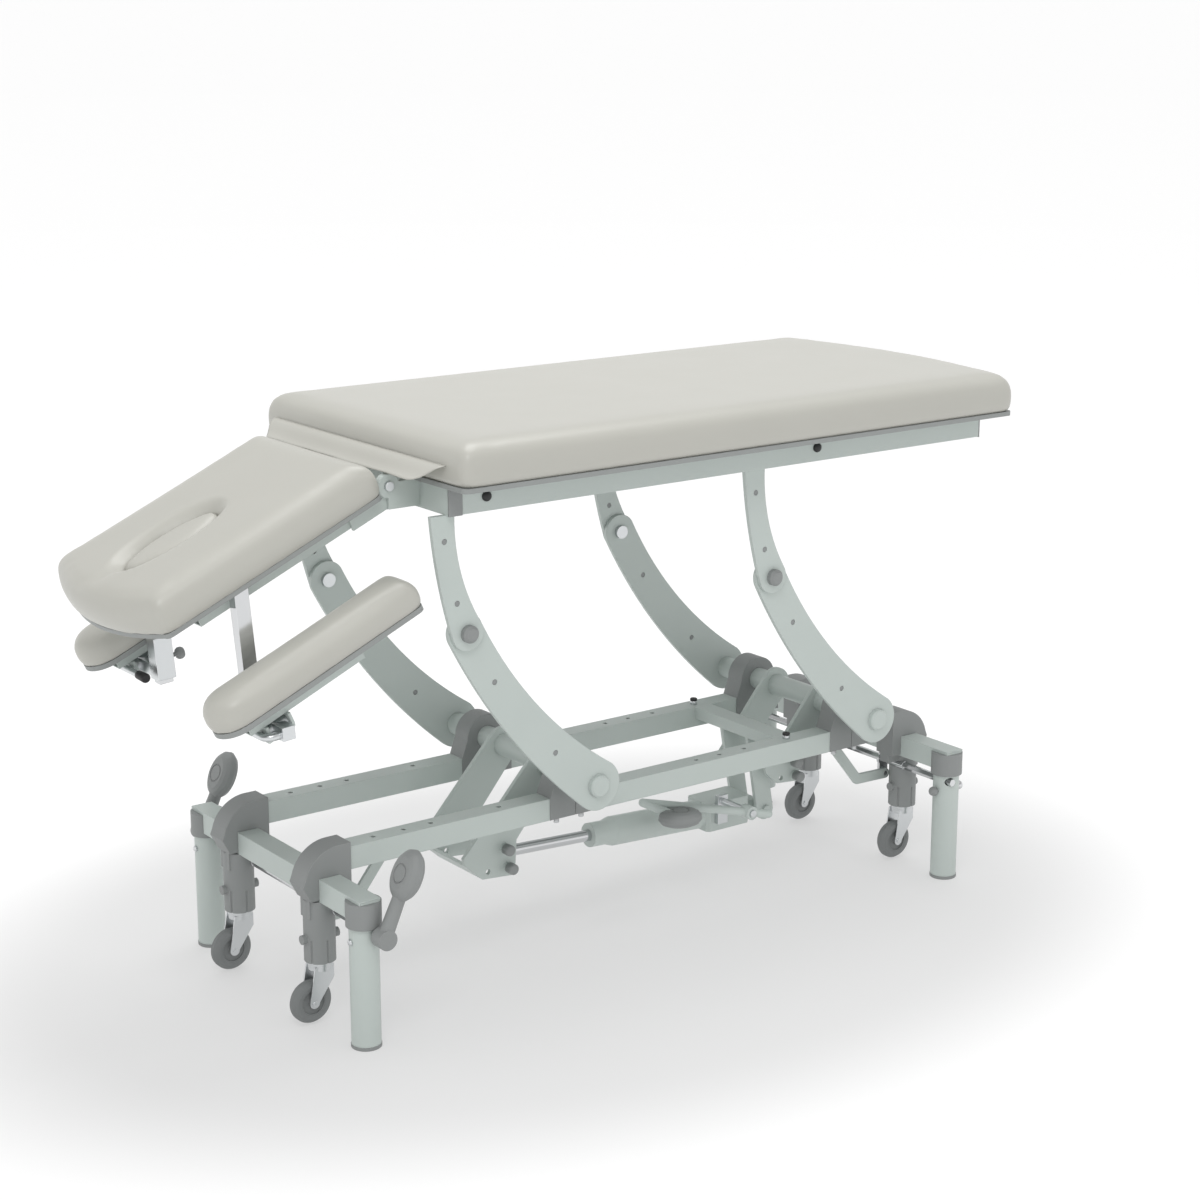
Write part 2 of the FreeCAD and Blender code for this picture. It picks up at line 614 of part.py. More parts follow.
def castor_pedals():
    turn = math.radians(PEDAL_ANGLE)
    along = vec(math.cos(turn), 0, math.sin(turn))
    face = vec(-math.sin(turn), 0, math.cos(turn))
    middle = -PEDAL_INNER - PEDAL_BOSS_LENGTH / 2
    hub = vec(-ROD_X, middle, ROD_Z)
    half = Y_AXIS * PEDAL_BOSS_LENGTH / 2
    boss = bar(hub - half, hub + half, PEDAL_BOSS_RADIUS)
    arm = Part.makeCone(PEDAL_BOSS_RADIUS - 4, PEDAL_ARM_TIP, PEDAL_REACH - PEDAL_PAD_LONG / 2, hub, along)
    pad = oval_pad(hub + along * PEDAL_REACH, along, face, PEDAL_PAD_LONG, PEDAL_PAD_SHORT, PEDAL_PAD_THICK)
    pedal = pad.fuse([boss, arm])
    socket = hex_bar(-ROD_X, middle - PEDAL_BOSS_LENGTH * 0.1, -PEDAL_INNER + 1)
    return both_sides(pedal.cut(socket))


def torque_tube(px):
    """A through tube whose painted end caps show outside the arms."""
    low = vec(px, -ARM_OUTER_Y, PIVOT_Z)
    high = vec(px, ARM_OUTER_Y, PIVOT_Z)
    body = bar(low, high, TORQUE_RADIUS).cut(bar(low, high, TORQUE_RADIUS - TORQUE_WALL))
    solids = [body]
    cap = bar(high, high + Y_AXIS * TORQUE_CAP_LENGTH, TORQUE_CAP_RADIUS)
    cap = bevelled(cap, 3.0, lambda e: e.BoundBox.YMin > ARM_OUTER_Y + 1)
    return solids + both_sides(cap)


def sagged(a, b, sag, towards):
    """The middle point of an arc from a to b that leaves the chord by sag."""
    chord = b - a
    side = vec(-chord.z, 0, chord.x).normalize()
    if side.dot(towards) < 0:
        side = side * -1
    return (a + b) * 0.5 + side * sag


def lift_arm(px):
    """A curved plate, narrow at the top pivot and broad at the torque tube."""
    foot, top = vec(px, 0, PIVOT_Z), vec(px + ARM_RUN, 0, TOP_PIVOT_Z)
    low_left = vec(-1, 0, -1)
    outer_top = top + vec(-0.888, 0, -0.46) * ARM_TOP_RADIUS
    inner_top = top + vec(0.832, 0, 0.555) * ARM_TOP_RADIUS
    outer_foot = foot + vec(-0.693, 0, -0.721) * ARM_FOOT_RADIUS
    inner_foot = foot + vec(0.632, 0, 0.775) * ARM_FOOT_RADIUS
    crest = top + vec(-0.39, 0, 0.92) * ARM_TOP_RADIUS
    heel = foot + vec(0.72, 0, -0.69) * ARM_FOOT_RADIUS
    outline = [arc(outer_top, sagged(outer_top, outer_foot, ARM_OUTER_SAG, low_left), outer_foot),
               arc(outer_foot, heel, inner_foot),
               arc(inner_foot, sagged(inner_top, inner_foot, ARM_INNER_SAG, low_left), inner_top),
               arc(inner_top, crest, outer_top)]
    plate = slab(flat_face(outline), ARM_INNER_Y, ARM_OUTER_Y)
    through = Y_AXIS * ARM_THICKNESS
    near = Y_AXIS * ARM_INNER_Y
    plate = plate.cut(bar(foot + near, foot + near + through, TORQUE_RADIUS + RUNNING))
    plate = plate.cut(bar(top + near, top + near + through, PIVOT_BOLT_RADIUS + RUNNING))
    across = vec(-ARM_RISE, 0, ARM_RUN).normalize()
    for share in ARM_HOLE_SHARES:
        bow = 4 * share * (1 - share) * ARM_HOLE_SAG
        spot = top + (foot - top) * share + across * bow + near
        plate = plate.cut(bar(spot, spot + through, ARM_HOLE_RADIUS))
    return plate


def lever_plates(px, share):
    """Two lever plates on the torque tube with their pins and, on the full-length pair, a web between."""
    pivot = vec(px, 0, PIVOT_Z)
    points = [pivot + vec(x, 0, z) * share for x, z in LEVER_OUTLINE[1:-1]]
    points.insert(0, pivot + vec(LEVER_OUTLINE[0][0], 0, LEVER_OUTLINE[0][1]))
    points.append(pivot + vec(LEVER_OUTLINE[-1][0], 0, LEVER_OUTLINE[-1][1]))
    crown = pivot + vec(0.66, 0, 0.75) * LEVER_TOP_RADIUS
    edges = [line(a, b) for a, b in zip(points, points[1:])]
    edges.append(arc(points[-1], crown, points[0]))
    outer = LEVER_Y + LEVER_THICKNESS
    plate = slab(flat_face(edges), LEVER_Y, outer)
    low, high = Y_AXIS * LEVER_Y, Y_AXIS * outer
    plate = plate.cut(bar(pivot + low, pivot + high, TORQUE_RADIUS + RUNNING))
    hole = pivot + vec(LEVER_HOLE[0], 0, LEVER_HOLE[1]) * share
    plate = plate.cut(bar(hole + low, hole + high, ARM_HOLE_RADIUS))
    for x, z in LEVER_PINS:
        spot = pivot + vec(x, 0, z) * share
        stub = bar(spot + low, spot + high + Y_AXIS * LEVER_PIN_REACH, LEVER_PIN_RADIUS)
        plate = plate.fuse(stub)
    plates = both_sides(plate.removeSplitter())
    if share < 1:
        return plates
    a, b = points[2], points[3]
    side = vec(b.z - a.z, 0, a.x - b.x).normalize() * -LEVER_WEB
    web = slab(flat_face(polygon([a, b, b + side, a + side])), -LEVER_Y, LEVER_Y)
    return plates + [web]


def along_cylinder(x):
    """A point on the cylinder's axis at the given x."""
    return vec(x, 0, EYE_Z + CYLINDER_SLOPE * (x - EYE_X))


def lift_cylinder():
    """A painted barrel with a necked front, its pump block and a rear eye on the bracket pin."""
    neck_end = BARREL_START + BARREL_NECK_LENGTH
    neck = bar(along_cylinder(BARREL_START), along_cylinder(neck_end), BARREL_NECK_RADIUS)
    slope = along_cylinder(1) - along_cylinder(0)
    taper = Part.makeCone(BARREL_NECK_RADIUS, BARREL_RADIUS, BARREL_NECK_LENGTH / 2, along_cylinder(neck_end), slope)
    shell = bar(along_cylinder(neck_end + BARREL_NECK_LENGTH / 2), along_cylinder(BARREL_END), BARREL_RADIUS)
    pump_low = along_cylinder(BARREL_END).z - PUMP_BLOCK_LOW
    pump_high = along_cylinder(BARREL_END).z + PUMP_BLOCK_HIGH
    side = (-PUMP_BLOCK_HALF_Y, PUMP_BLOCK_HALF_Y)
    pump = block((BARREL_END - 45, CYLINDER_PIN_X - 32), side, (pump_low, pump_high))
    pump = bevelled(pump, 6.0, lambda e: e.BoundBox.YLength < 0.1 and e.BoundBox.XLength < 0.1)
    stop = along_cylinder(CYLINDER_PIN_X)
    tang = block((CYLINDER_PIN_X - 40, CYLINDER_PIN_X), (-14, 14), (stop.z - 15, stop.z + 15))
    eye = bar(stop - Y_AXIS * 14, stop + Y_AXIS * 14, 15)
    body = neck.fuse([taper, shell, pump, tang, eye]).removeSplitter()
    bore = bar(along_cylinder(BARREL_START - 1), along_cylinder(BARREL_BORE_END), PISTON_RADIUS + RUNNING)
    body = body.cut(bore)
    return [body.cut(bar(stop - Y_AXIS * 40, stop + Y_AXIS * 40, CYLINDER_PIN_RADIUS + RUNNING))]


def piston_rod():
    eye_centre = along_cylinder(EYE_X)
    half = Y_AXIS * ROD_EYE_WIDTH / 2
    eye = bar(eye_centre - half, eye_centre + half, ROD_EYE_RADIUS)
    shaft = bar(eye_centre, along_cylinder(PISTON_INNER_END), PISTON_RADIUS)
    body = eye.fuse(shaft).removeSplitter()
    return [body.cut(bar(eye_centre - half, eye_centre + half, LEVER_PIN_RADIUS))]


def cylinder_bracket():
    """A cross tube between the side rails with two hanging cheeks and the cylinder's rear pin."""
    inner = RAIL_Y - RAIL / 2
    x = (BRACKET_TUBE_X - CROSS_TUBE / 2, BRACKET_TUBE_X + CROSS_TUBE / 2)
    cross = tube(x, (-inner, inner), (BRACKET_TUBE_BOTTOM, RAIL_TOP), TUBE_WALL, "y")
    pin_z = CYLINDER_PIN_Z
    low, high = PUMP_BLOCK_HALF_Y + SMALL_GAP, PUMP_BLOCK_HALF_Y + SMALL_GAP + BRACKET_PLATE
    top_left = vec(x[0], 0, BRACKET_TUBE_BOTTOM)
    top_right = vec(x[1], 0, BRACKET_TUBE_BOTTOM)
    lobe_left = vec(BRACKET_X - BRACKET_LOBE, 0, pin_z)
    lobe_right = vec(BRACKET_X + BRACKET_LOBE, 0, pin_z)
    lobe_low = vec(BRACKET_X, 0, pin_z - BRACKET_LOBE)
    outline = [line(top_left, top_right), line(top_right, lobe_right),
               arc(lobe_right, lobe_low, lobe_left), line(lobe_left, top_left)]
    cheek = slab(flat_face(outline), low, high)
    pin = bar(vec(BRACKET_X, -high - 6, pin_z), vec(BRACKET_X, high + 6, pin_z), CYLINDER_PIN_RADIUS)
    cheeks = both_sides(cheek)
    return [cross.fuse(cheeks + [pin]).removeSplitter()]


def pump_pin():
    """The pump lever's pivot pin, standing out of the pump block's near side."""
    start = vec(PUMP_PIVOT_X, -PUMP_BLOCK_HALF_Y, PUMP_PIVOT_Z)
    arm = block((PUMP_PIVOT_X - 12, PUMP_PIVOT_X + 12), (-PUMP_BLOCK_HALF_Y - 10, -PUMP_BLOCK_HALF_Y),
                (along_cylinder(BARREL_END).z - 10, PUMP_PIVOT_Z + 12))
    return [arm.fuse(bar(start, vec(PUMP_PIVOT_X, -136, PUMP_PIVOT_Z), PUMP_PIN_RADIUS)).removeSplitter()]


def pump_pedal_bar():
    """A bent tube lever on the pump pin, turned back at its free end to carry the pad."""
    a, b, c = (vec(*p) for p in PUMP_BAR_POINTS)
    first = b - a
    joint = bar(a, b, PUMP_BAR_RADIUS).fuse(bar(b, c, PUMP_BAR_RADIUS))
    joint = joint.fuse([Part.makeSphere(PUMP_BAR_RADIUS, b), Part.makeSphere(PUMP_BAR_RADIUS, a)])
    share = (PUMP_PIVOT_X - a.x) / (b.x - a.x)
    seat = a + first * share
    boss_low = vec(PUMP_PIVOT_X, seat.y - 12, PUMP_PIVOT_Z)
    boss = bar(boss_low, boss_low + Y_AXIS * 24, PUMP_BOSS_RADIUS)
    body = joint.fuse(boss).removeSplitter()
    bore = bar(boss_low - Y_AXIS, boss_low + Y_AXIS * 60, PUMP_PIN_RADIUS + RUNNING)
    return [body.cut(bore)]


def pump_pedal_pad():
    a, b, c = (vec(*p) for p in PUMP_BAR_POINTS)
    along = vec(0.93, -0.36, 0).normalize()
    pad = oval_pad(c, along, Z_AXIS, PUMP_PAD_LONG, PUMP_PAD_SHORT, PUMP_PAD_THICK)
    return [pad.cut(pump_pedal_bar()[0])]


def upper_rails():
    y = (UPPER_RAIL_INNER, UPPER_RAIL_OUTER)
    rail = tube((UPPER_RAIL_START, UPPER_RAIL_END), y, (UPPER_RAIL_BOTTOM, UPPER_RAIL_TOP), UPPER_WALL, "x")
    return both_sides(rail)


def upper_head_tube():
    half = UPPER_RAIL_OUTER - END_CAP
    x = (UPPER_TUBE_X, UPPER_RAIL_START)
    return [tube(x, (-half, half), (UPPER_RAIL_BOTTOM, UPPER_RAIL_TOP), UPPER_WALL, "y")]


def upper_foot_tube():
    x = (UPPER_FOOT_TUBE_X, UPPER_FOOT_TUBE_X + UPPER_RAIL_WIDTH)
    y = (-UPPER_RAIL_INNER, UPPER_RAIL_INNER)
    return [tube(x, y, (UPPER_RAIL_BOTTOM, UPPER_RAIL_TOP), UPPER_WALL, "y")]


def rail_end_caps():
    """Dark plugs on the open ends of the head tube and the side rails."""
    y = (UPPER_RAIL_OUTER - END_CAP, UPPER_RAIL_OUTER + 1)
    z = (UPPER_RAIL_BOTTOM - 1, UPPER_RAIL_TOP - 1)
    head_cap = block((UPPER_TUBE_X - 1, UPPER_RAIL_START), y, z)
    foot_cap = block((UPPER_RAIL_END, UPPER_RAIL_END + END_CAP), (UPPER_RAIL_INNER, UPPER_RAIL_OUTER), z)
    return both_sides(head_cap) + both_sides(foot_cap)


def upper_plate(pivot_x):
    """A curved hanger plate from the upper rail down to the lift arm's top pivot."""
    pivot = vec(pivot_x, 0, TOP_PIVOT_Z)
    left_top = vec(pivot_x + UPPER_PLATE_TOP[0], 0, UPPER_RAIL_BOTTOM)
    right_top = vec(pivot_x + UPPER_PLATE_TOP[1], 0, UPPER_RAIL_BOTTOM)
    left_mid = pivot + vec(UPPER_PLATE_MID[0], 0, UPPER_PLATE_MID_Z)
    right_mid = pivot + vec(UPPER_PLATE_MID[1], 0, UPPER_PLATE_MID_Z)
    left_foot = pivot + vec(-0.96, 0, -0.28) * UPPER_PLATE_RADIUS
    right_foot = pivot + vec(0.9, 0, 0.436) * UPPER_PLATE_RADIUS
    heel = pivot + vec(0.4, 0, -0.9165) * UPPER_PLATE_RADIUS
    outline = [line(right_top, left_top), arc(left_top, left_mid, left_foot),
               arc(left_foot, heel, right_foot), arc(right_foot, right_mid, right_top)]
    plate = slab(flat_face(outline), PLATE_INNER_Y, PLATE_OUTER_Y)
    low, high = Y_AXIS * PLATE_INNER_Y, Y_AXIS * PLATE_OUTER_Y
    plate = plate.cut(bar(pivot + low, pivot + high, PIVOT_BOLT_RADIUS))
    for x, z in UPPER_HOLES:
        spot = pivot + vec(x, 0, z)
        plate = plate.cut(bar(spot + low, spot + high, ARM_HOLE_RADIUS))
    return plate


def upper_plates():
    return both_sides(upper_plate(TOP_PIVOT_X[0])) + both_sides(upper_plate(TOP_PIVOT_X[1]))


def pivot_bolts():
    """Plated bolts of the four top pivots, heads inside the lift arms."""
    solids = []
    for x in TOP_PIVOT_X:
        head_end = ARM_INNER_Y - SMALL_GAP
        head = bar(vec(x, head_end - PIVOT_HEAD_HEIGHT, TOP_PIVOT_Z), vec(x, head_end, TOP_PIVOT_Z), PIVOT_HEAD_RADIUS)
        shank = bar(vec(x, head_end, TOP_PIVOT_Z), vec(x, PLATE_OUTER_Y, TOP_PIVOT_Z), PIVOT_BOLT_RADIUS)
        solids += both_sides(head.fuse(shank).removeSplitter())
    return solids


def pivot_caps():
    solids = []
    for x in TOP_PIVOT_X:
        start = vec(x, PLATE_OUTER_Y, TOP_PIVOT_Z)
        cap = bar(start, start + Y_AXIS * PIVOT_CAP_HEIGHT, PIVOT_CAP_RADIUS)
        solids += both_sides(bevelled(cap, 5.0, lambda e: e.BoundBox.YMin > PLATE_OUTER_Y + 1))
    return solids


def main_outline(inset, z):
    """The main section's plan at one height: square head end, bowed foot end, round corners."""
    head, foot = MAIN_HEAD_X + inset, MAIN_FOOT_X - inset
    half = MAIN_HALF - inset
    r = max(MAIN_CORNER - inset, 6.0)
    k = r * (1 - math.sqrt(0.5))
    tip = MAIN_FOOT_X + MAIN_FOOT_SAG - inset
    return Part.Wire([
        line(vec(head, -half + r, z), vec(head, half - r, z)),
        arc(vec(head, half - r, z), vec(head + k, half - k, z), vec(head + r, half, z)),
        line(vec(head + r, half, z), vec(foot - r, half, z)),
        arc(vec(foot - r, half, z), vec(foot - k, half - k, z), vec(foot, half - r, z)),
        arc(vec(foot, half - r, z), vec(tip, 0, z), vec(foot, -half + r, z)),
        arc(vec(foot, -half + r, z), vec(foot - k, -half + k, z), vec(foot - r, -half, z)),
        line(vec(foot - r, -half, z), vec(head + r, -half, z)),
        arc(vec(head + r, -half, z), vec(head + k, -half + k, z), vec(head, -half + r, z))])


# Height shares and insets of a cushion: drawn in at its base, full at the middle, crowned above
CUSHION_LEVELS = ((0.0, 8.0), (0.16, 2.5), (0.36, 0.0), (0.58, 0.5), (0.74, 4.0), (0.87, 10.0),
                  (0.95, 18.0), (0.985, 30.0), (1.0, 70.0))


def lofted(outline, base, thickness, levels):
    wires = [outline(inset, base + share * thickness) for share, inset in levels]
    return Part.makeLoft(wires, True, True)


def main_board():
    wire = main_outline(BOARD_INSET, UPPER_RAIL_TOP)
    return [Part.Face(wire).extrude(Z_AXIS * BOARD_THICKNESS)]


def main_cushion():
    base = BOARD_TOP + SMALL_GAP
    return [lofted(main_outline, base, MAIN_CUSHION_THICKNESS, CUSHION_LEVELS)]


def in_head_frame(shape):
    """Turn a piece drawn along -X at the head board's level down to the head section's tilt."""
    placed = shape.copy()
    placed.translate(vec(HINGE_X - HINGE_TO_BOARD_U, 0, HINGE_Z - HINGE_ABOVE_BOARD))
    placed.rotate(vec(HINGE_X, 0, HINGE_Z), Y_AXIS, -HEAD_TILT)
    return placed


def head_outline(inset, z):
    """The head section's plan: square at the hinge, bowed at the free end."""
    start, end = -(HEAD_START + inset), -(HEAD_END - inset)
    half = HEAD_HALF - inset
    r = max(HEAD_CORNER - inset, 5.0)
    k = r * (1 - math.sqrt(0.5))
    tip = -(HEAD_END + HEAD_SAG - inset)
    return Part.Wire([
        line(vec(start, -half + r, z), vec(start, half - r, z)),
        arc(vec(start, half - r, z), vec(start - k, half - k, z), vec(start - r, half, z)),
        line(vec(start - r, half, z), vec(end + r, half, z)),
        arc(vec(end + r, half, z), vec(end + k, half - k, z), vec(end, half - r, z)),
        arc(vec(end, half - r, z), vec(tip, 0, z), vec(end, -half + r, z)),
        arc(vec(end, -half + r, z), vec(end + k, -half + k, z), vec(end + r, -half, z)),
        line(vec(end + r, -half, z), vec(start - r, -half, z)),
        arc(vec(start - r, -half, z), vec(start - k, -half + k, z), vec(start, -half + r, z))])


def face_hole(grow, low, high):
    """The oval breathing hole as a solid, grown by a clearance."""
    hole = flat_face(oval(HOLE_LONG + grow, HOLE_WIDE + grow, low)).extrude(Z_AXIS * (high - low))
    hole.translate(vec(-HOLE_U, 0, 0))
    return hole


def head_board():
    board = Part.Face(head_outline(BOARD_INSET, 0)).extrude(Z_AXIS * BOARD_THICKNESS)
    board = board.cut(face_hole(0, -1, BOARD_THICKNESS + 1))
    return [in_head_frame(board)]


HEAD_LEVELS = ((0.0, 7.0), (0.16, 2.0), (0.36, 0.0), (0.58, 0.5), (0.74, 4.0), (0.87, 9.0),
               (0.95, 16.0), (0.985, 26.0), (1.0, 46.0))


def head_cushion():
    base = BOARD_THICKNESS + SMALL_GAP
    body = lofted(head_outline, base, HEAD_CUSHION_THICKNESS, HEAD_LEVELS)
    return [in_head_frame(body.cut(face_hole(0, base - 1, base + HEAD_CUSHION_THICKNESS + 1)))]


def face_plug():
    """The padded plug that closes the breathing hole, sunk a little below the face."""
    top = BOARD_THICKNESS + SMALL_GAP + HEAD_CUSHION_THICKNESS - PLUG_SINK
    body = face_hole(-PLUG_GAP, top - PLUG_DEPTH, top)
    body = bevelled(body, 8.0, lambda e: e.BoundBox.ZMin > top - 0.1)
    return [in_head_frame(body)]


def head_frame():
    """Two flat tubes under the head board, a cross tube, and round hinge plates at their ends."""
    z = (-HEAD_TUBE_HEIGHT, 0)
    y = (HINGE_Y - HEAD_TUBE_WIDTH, HINGE_Y)
    side = tube((-HEAD_TUBE_END, 0), y, z, UPPER_WALL, "x")
    hinge = vec(HINGE_TO_BOARD_U, HINGE_Y, HINGE_ABOVE_BOARD)
    plate = bar(hinge, hinge + Y_AXIS * HINGE_PLATE, HINGE_PLATE_RADIUS)
    arm = block((-60, HINGE_TO_BOARD_U), (HINGE_Y, HINGE_Y + HINGE_PLATE), (-HEAD_TUBE_HEIGHT - 4, 0))
    plate = plate.fuse(arm).removeSplitter()
    keep = block((-60, HINGE_TO_BOARD_U + HINGE_PLATE_RADIUS), (0, HINGE_Y + 20), (-60, -SMALL_GAP))
    round_end = bar(hinge, hinge + Y_AXIS * HINGE_PLATE, HINGE_EAR_RADIUS)
    plate = plate.common(keep).fuse(round_end.cut(block((-60, 1), (0, 300), (-1, 60)))).removeSplitter()
    plate = plate.cut(bar(hinge - Y_AXIS, hinge + Y_AXIS * 20, HINGE_PIN_RADIUS))
    inner = HINGE_Y - HEAD_TUBE_WIDTH
    cross = tube((-HEAD_TUBE_END, -HEAD_TUBE_END + HEAD_TUBE_WIDTH), (-inner, inner), z, UPPER_WALL, "y")
    solids = both_sides(side) + both_sides(plate) + [cross]
    return [in_head_frame(s) for s in solids]


def hinge_pins():
    low = HINGE_Y
    high = HINGE_Y + 2 * HINGE_PLATE + SMALL_GAP + 5
    pin = bar(vec(HINGE_X, low, HINGE_Z), vec(HINGE_X, high, HINGE_Z), HINGE_PIN_RADIUS)
    return both_sides(pin)


def hinge_brackets():
    """Ears on the head tube that hold the head section's hinge pins."""
    low = HINGE_Y + HINGE_PLATE + SMALL_GAP
    high = low + HINGE_PLATE
    hinge = vec(HINGE_X, low, HINGE_Z)
    ear = bar(hinge, vec(HINGE_X, high, HINGE_Z), HINGE_EAR_RADIUS)
    web = block((HINGE_X, UPPER_TUBE_X), (low, high), (UPPER_RAIL_BOTTOM + 4, HINGE_Z + 6))
    ear = ear.fuse(web).removeSplitter()
    return both_sides(ear.cut(bar(hinge - Y_AXIS, vec(HINGE_X, high + 1, HINGE_Z), HINGE_PIN_RADIUS + RUNNING)))


def leaning(shape):
    """Lean a piece drawn hanging straight down from the board to the posts' angle."""
    placed = shape.copy()
    placed.rotate(vec(-POST_U, 0, 0), Y_AXIS, POST_LEAN)
    return placed


def armrest_posts():
    """Chrome flat tubes that hang from the head board and carry the armrest sleeves."""
    x = (-POST_U - POST_DEPTH / 2, -POST_U + POST_DEPTH / 2)
    y = (POST_Y - POST_WIDTH / 2, POST_Y + POST_WIDTH / 2)
    post = leaning(tube(x, y, (-POST_LENGTH, 20), UPPER_WALL, "z"))
    below = block((-900, 100), (0, 400), (-400, 0))
    cap = leaning(block(x, y, (-POST_LENGTH - POST_CAP, -POST_LENGTH)))
    return [in_head_frame(s) for s in both_sides(post.common(below)) + both_sides(cap)]


def grab_rod():
    """A chrome rod that starts beside the post, runs outwards and bends back to the arm's end."""
    level = -SLEEVE_TOP - SLEEVE_LENGTH + ARM_BAR / 2 - GRAB_DROP
    grip = vec(-POST_U - GRAB_FORWARD, POST_Y - GRAB_OVERLAP, level)
    corner = vec(grip.x, POST_Y + GRAB_REACH, level)
    seat = vec(-POST_U, corner.y, level)
    bend = GRAB_RADIUS * 2.5
    start, stop = corner - Y_AXIS * bend, corner + X_AXIS * bend
    middle = corner + vec(1, -1, 0) * bend * (1 - math.sqrt(0.5))
    path = Part.Wire([line(grip, start), arc(start, middle, stop), line(stop, seat)])
    ring = Part.Wire(Part.makeCircle(GRAB_RADIUS, grip, Y_AXIS))
    return path.makePipeShell([ring], True, True)


def tilt_pivot():
    """Centre of the armrest's tilt pin, in the head section's own directions."""
    u = (LOBE_U[0] + LOBE_U[1]) / 2
    return vec(-u, PAD_Y, PAD_BOTTOM - PAD_TUBE - LOBE_DROP / 2)


def armrest_carrier():
    """A sleeve on the post with an arm out to the pad, its tilt pin and a grab rod."""
    gap = SLEEVE_PLAY
    inner_x = (-POST_U - POST_DEPTH / 2 - gap, -POST_U + POST_DEPTH / 2 + gap)
    inner_y = (POST_Y - POST_WIDTH / 2 - gap, POST_Y + POST_WIDTH / 2 + gap)
    outer_x = (inner_x[0] - SLEEVE_WALL, inner_x[1] + SLEEVE_WALL)
    outer_y = (inner_y[0] - SLEEVE_WALL, inner_y[1] + SLEEVE_WALL)
    z = (-SLEEVE_TOP - SLEEVE_LENGTH, -SLEEVE_TOP)
    sleeve = block(outer_x, outer_y, z)
    arm_end = POST_Y + GRAB_REACH + ARM_BAR / 2
    arm = block((-POST_U - ARM_BAR / 2, -POST_U + ARM_BAR / 2), (outer_y[1] - 1, arm_end), (z[0], z[0] + ARM_BAR))
    body = sleeve.fuse([arm, grab_rod()])
    body = leaning(body.cut(block(inner_x, inner_y, (z[0] - 1, z[1] + 1))))
    pivot = tilt_pivot()
    half = X_AXIS * ((LOBE_U[1] - LOBE_U[0]) / 2 - LOBE_PLATE / 2 - SMALL_GAP)
    boss = bar(pivot - half, pivot + half, LOBE_HALF * 0.6)
    reach = half + X_AXIS * (2 * LOBE_PLATE)
    pin = bar(pivot - reach, pivot + reach, TILT_PIN_RADIUS)
    body = body.fuse([boss, pin]).removeSplitter()
    return in_head_frame(body)


def armrest_bracket():
    """A square tube under the armrest board with two lobed plates round the tilt boss."""
    y = (PAD_Y - PAD_TUBE / 2, PAD_Y + PAD_TUBE / 2)
    z = (PAD_BOTTOM - PAD_TUBE, PAD_BOTTOM)
    rail = tube((-PAD_TUBE_END, -PAD_TUBE_START), y, z, UPPER_WALL, "x")
    lobes = []
    low = PAD_BOTTOM - PAD_TUBE
    for u in LOBE_U:
        outline = [line(vec(0, -LOBE_HALF, low), vec(0, LOBE_HALF, low)),
                   line(vec(0, LOBE_HALF, low), vec(0, LOBE_HALF, low - LOBE_DROP / 2)),
                   arc(vec(0, LOBE_HALF, low - LOBE_DROP / 2), vec(0, 0, low - LOBE_DROP),
                       vec(0, -LOBE_HALF, low - LOBE_DROP / 2)),
                   line(vec(0, -LOBE_HALF, low - LOBE_DROP / 2), vec(0, -LOBE_HALF, low))]
        lobe = flat_face(outline).extrude(X_AXIS * LOBE_PLATE)
        lobe.translate(vec(-u - LOBE_PLATE / 2, PAD_Y, 0))
        lobes.append(lobe)
    body = rail.fuse(lobes).removeSplitter()
    pivot = tilt_pivot()
    reach = X_AXIS * (LOBE_U[1] - LOBE_U[0])
    return in_head_frame(body.cut(bar(pivot - reach, pivot + reach, TILT_PIN_RADIUS + RUNNING)))


def pad_outline(inset, z):
    """The armrest's plan: square with round corners at the hinge end, a long round nose."""
    start, end = -(PAD_START + inset), -(PAD_END - inset * 0.4)
    half = PAD_HALF - inset
    r = max(PAD_CORNER - inset * 0.5, 5.0)
    k = r * (1 - math.sqrt(0.5))
    tip = -(PAD_END + PAD_NOSE - inset)
    mid = (end + tip) / 2
    low, high = PAD_Y - half, PAD_Y + half
    return Part.Wire([
        line(vec(start, low + r, z), vec(start, high - r, z)),
        arc(vec(start, high - r, z), vec(start - k, high - k, z), vec(start - r, high, z)),
        line(vec(start - r, high, z), vec(end, high, z)),
        arc(vec(end, high, z), vec(mid - 6, PAD_Y + half * 0.8, z), vec(tip, PAD_Y, z)),
        arc(vec(tip, PAD_Y, z), vec(mid - 6, PAD_Y - half * 0.8, z), vec(end, low, z)),
        line(vec(end, low, z), vec(start - r, low, z)),
        arc(vec(start - r, low, z), vec(start - k, low + k, z), vec(start, low + r, z))])


PAD_LEVELS = ((0.0, 6.0), (0.16, 1.5), (0.36, 0.0), (0.58, 1.0), (0.76, 5.0), (0.90, 11.0), (1.0, 22.0))


def armrest_pad():
    board = Part.Face(pad_outline(BOARD_INSET - 2, PAD_BOTTOM)).extrude(Z_AXIS * PAD_BOARD)
    base = PAD_BOTTOM + PAD_BOARD + SMALL_GAP
    cushion = lofted(pad_outline, base, PAD_THICKNESS, PAD_LEVELS)
    return [in_head_frame(board), in_head_frame(cushion)]


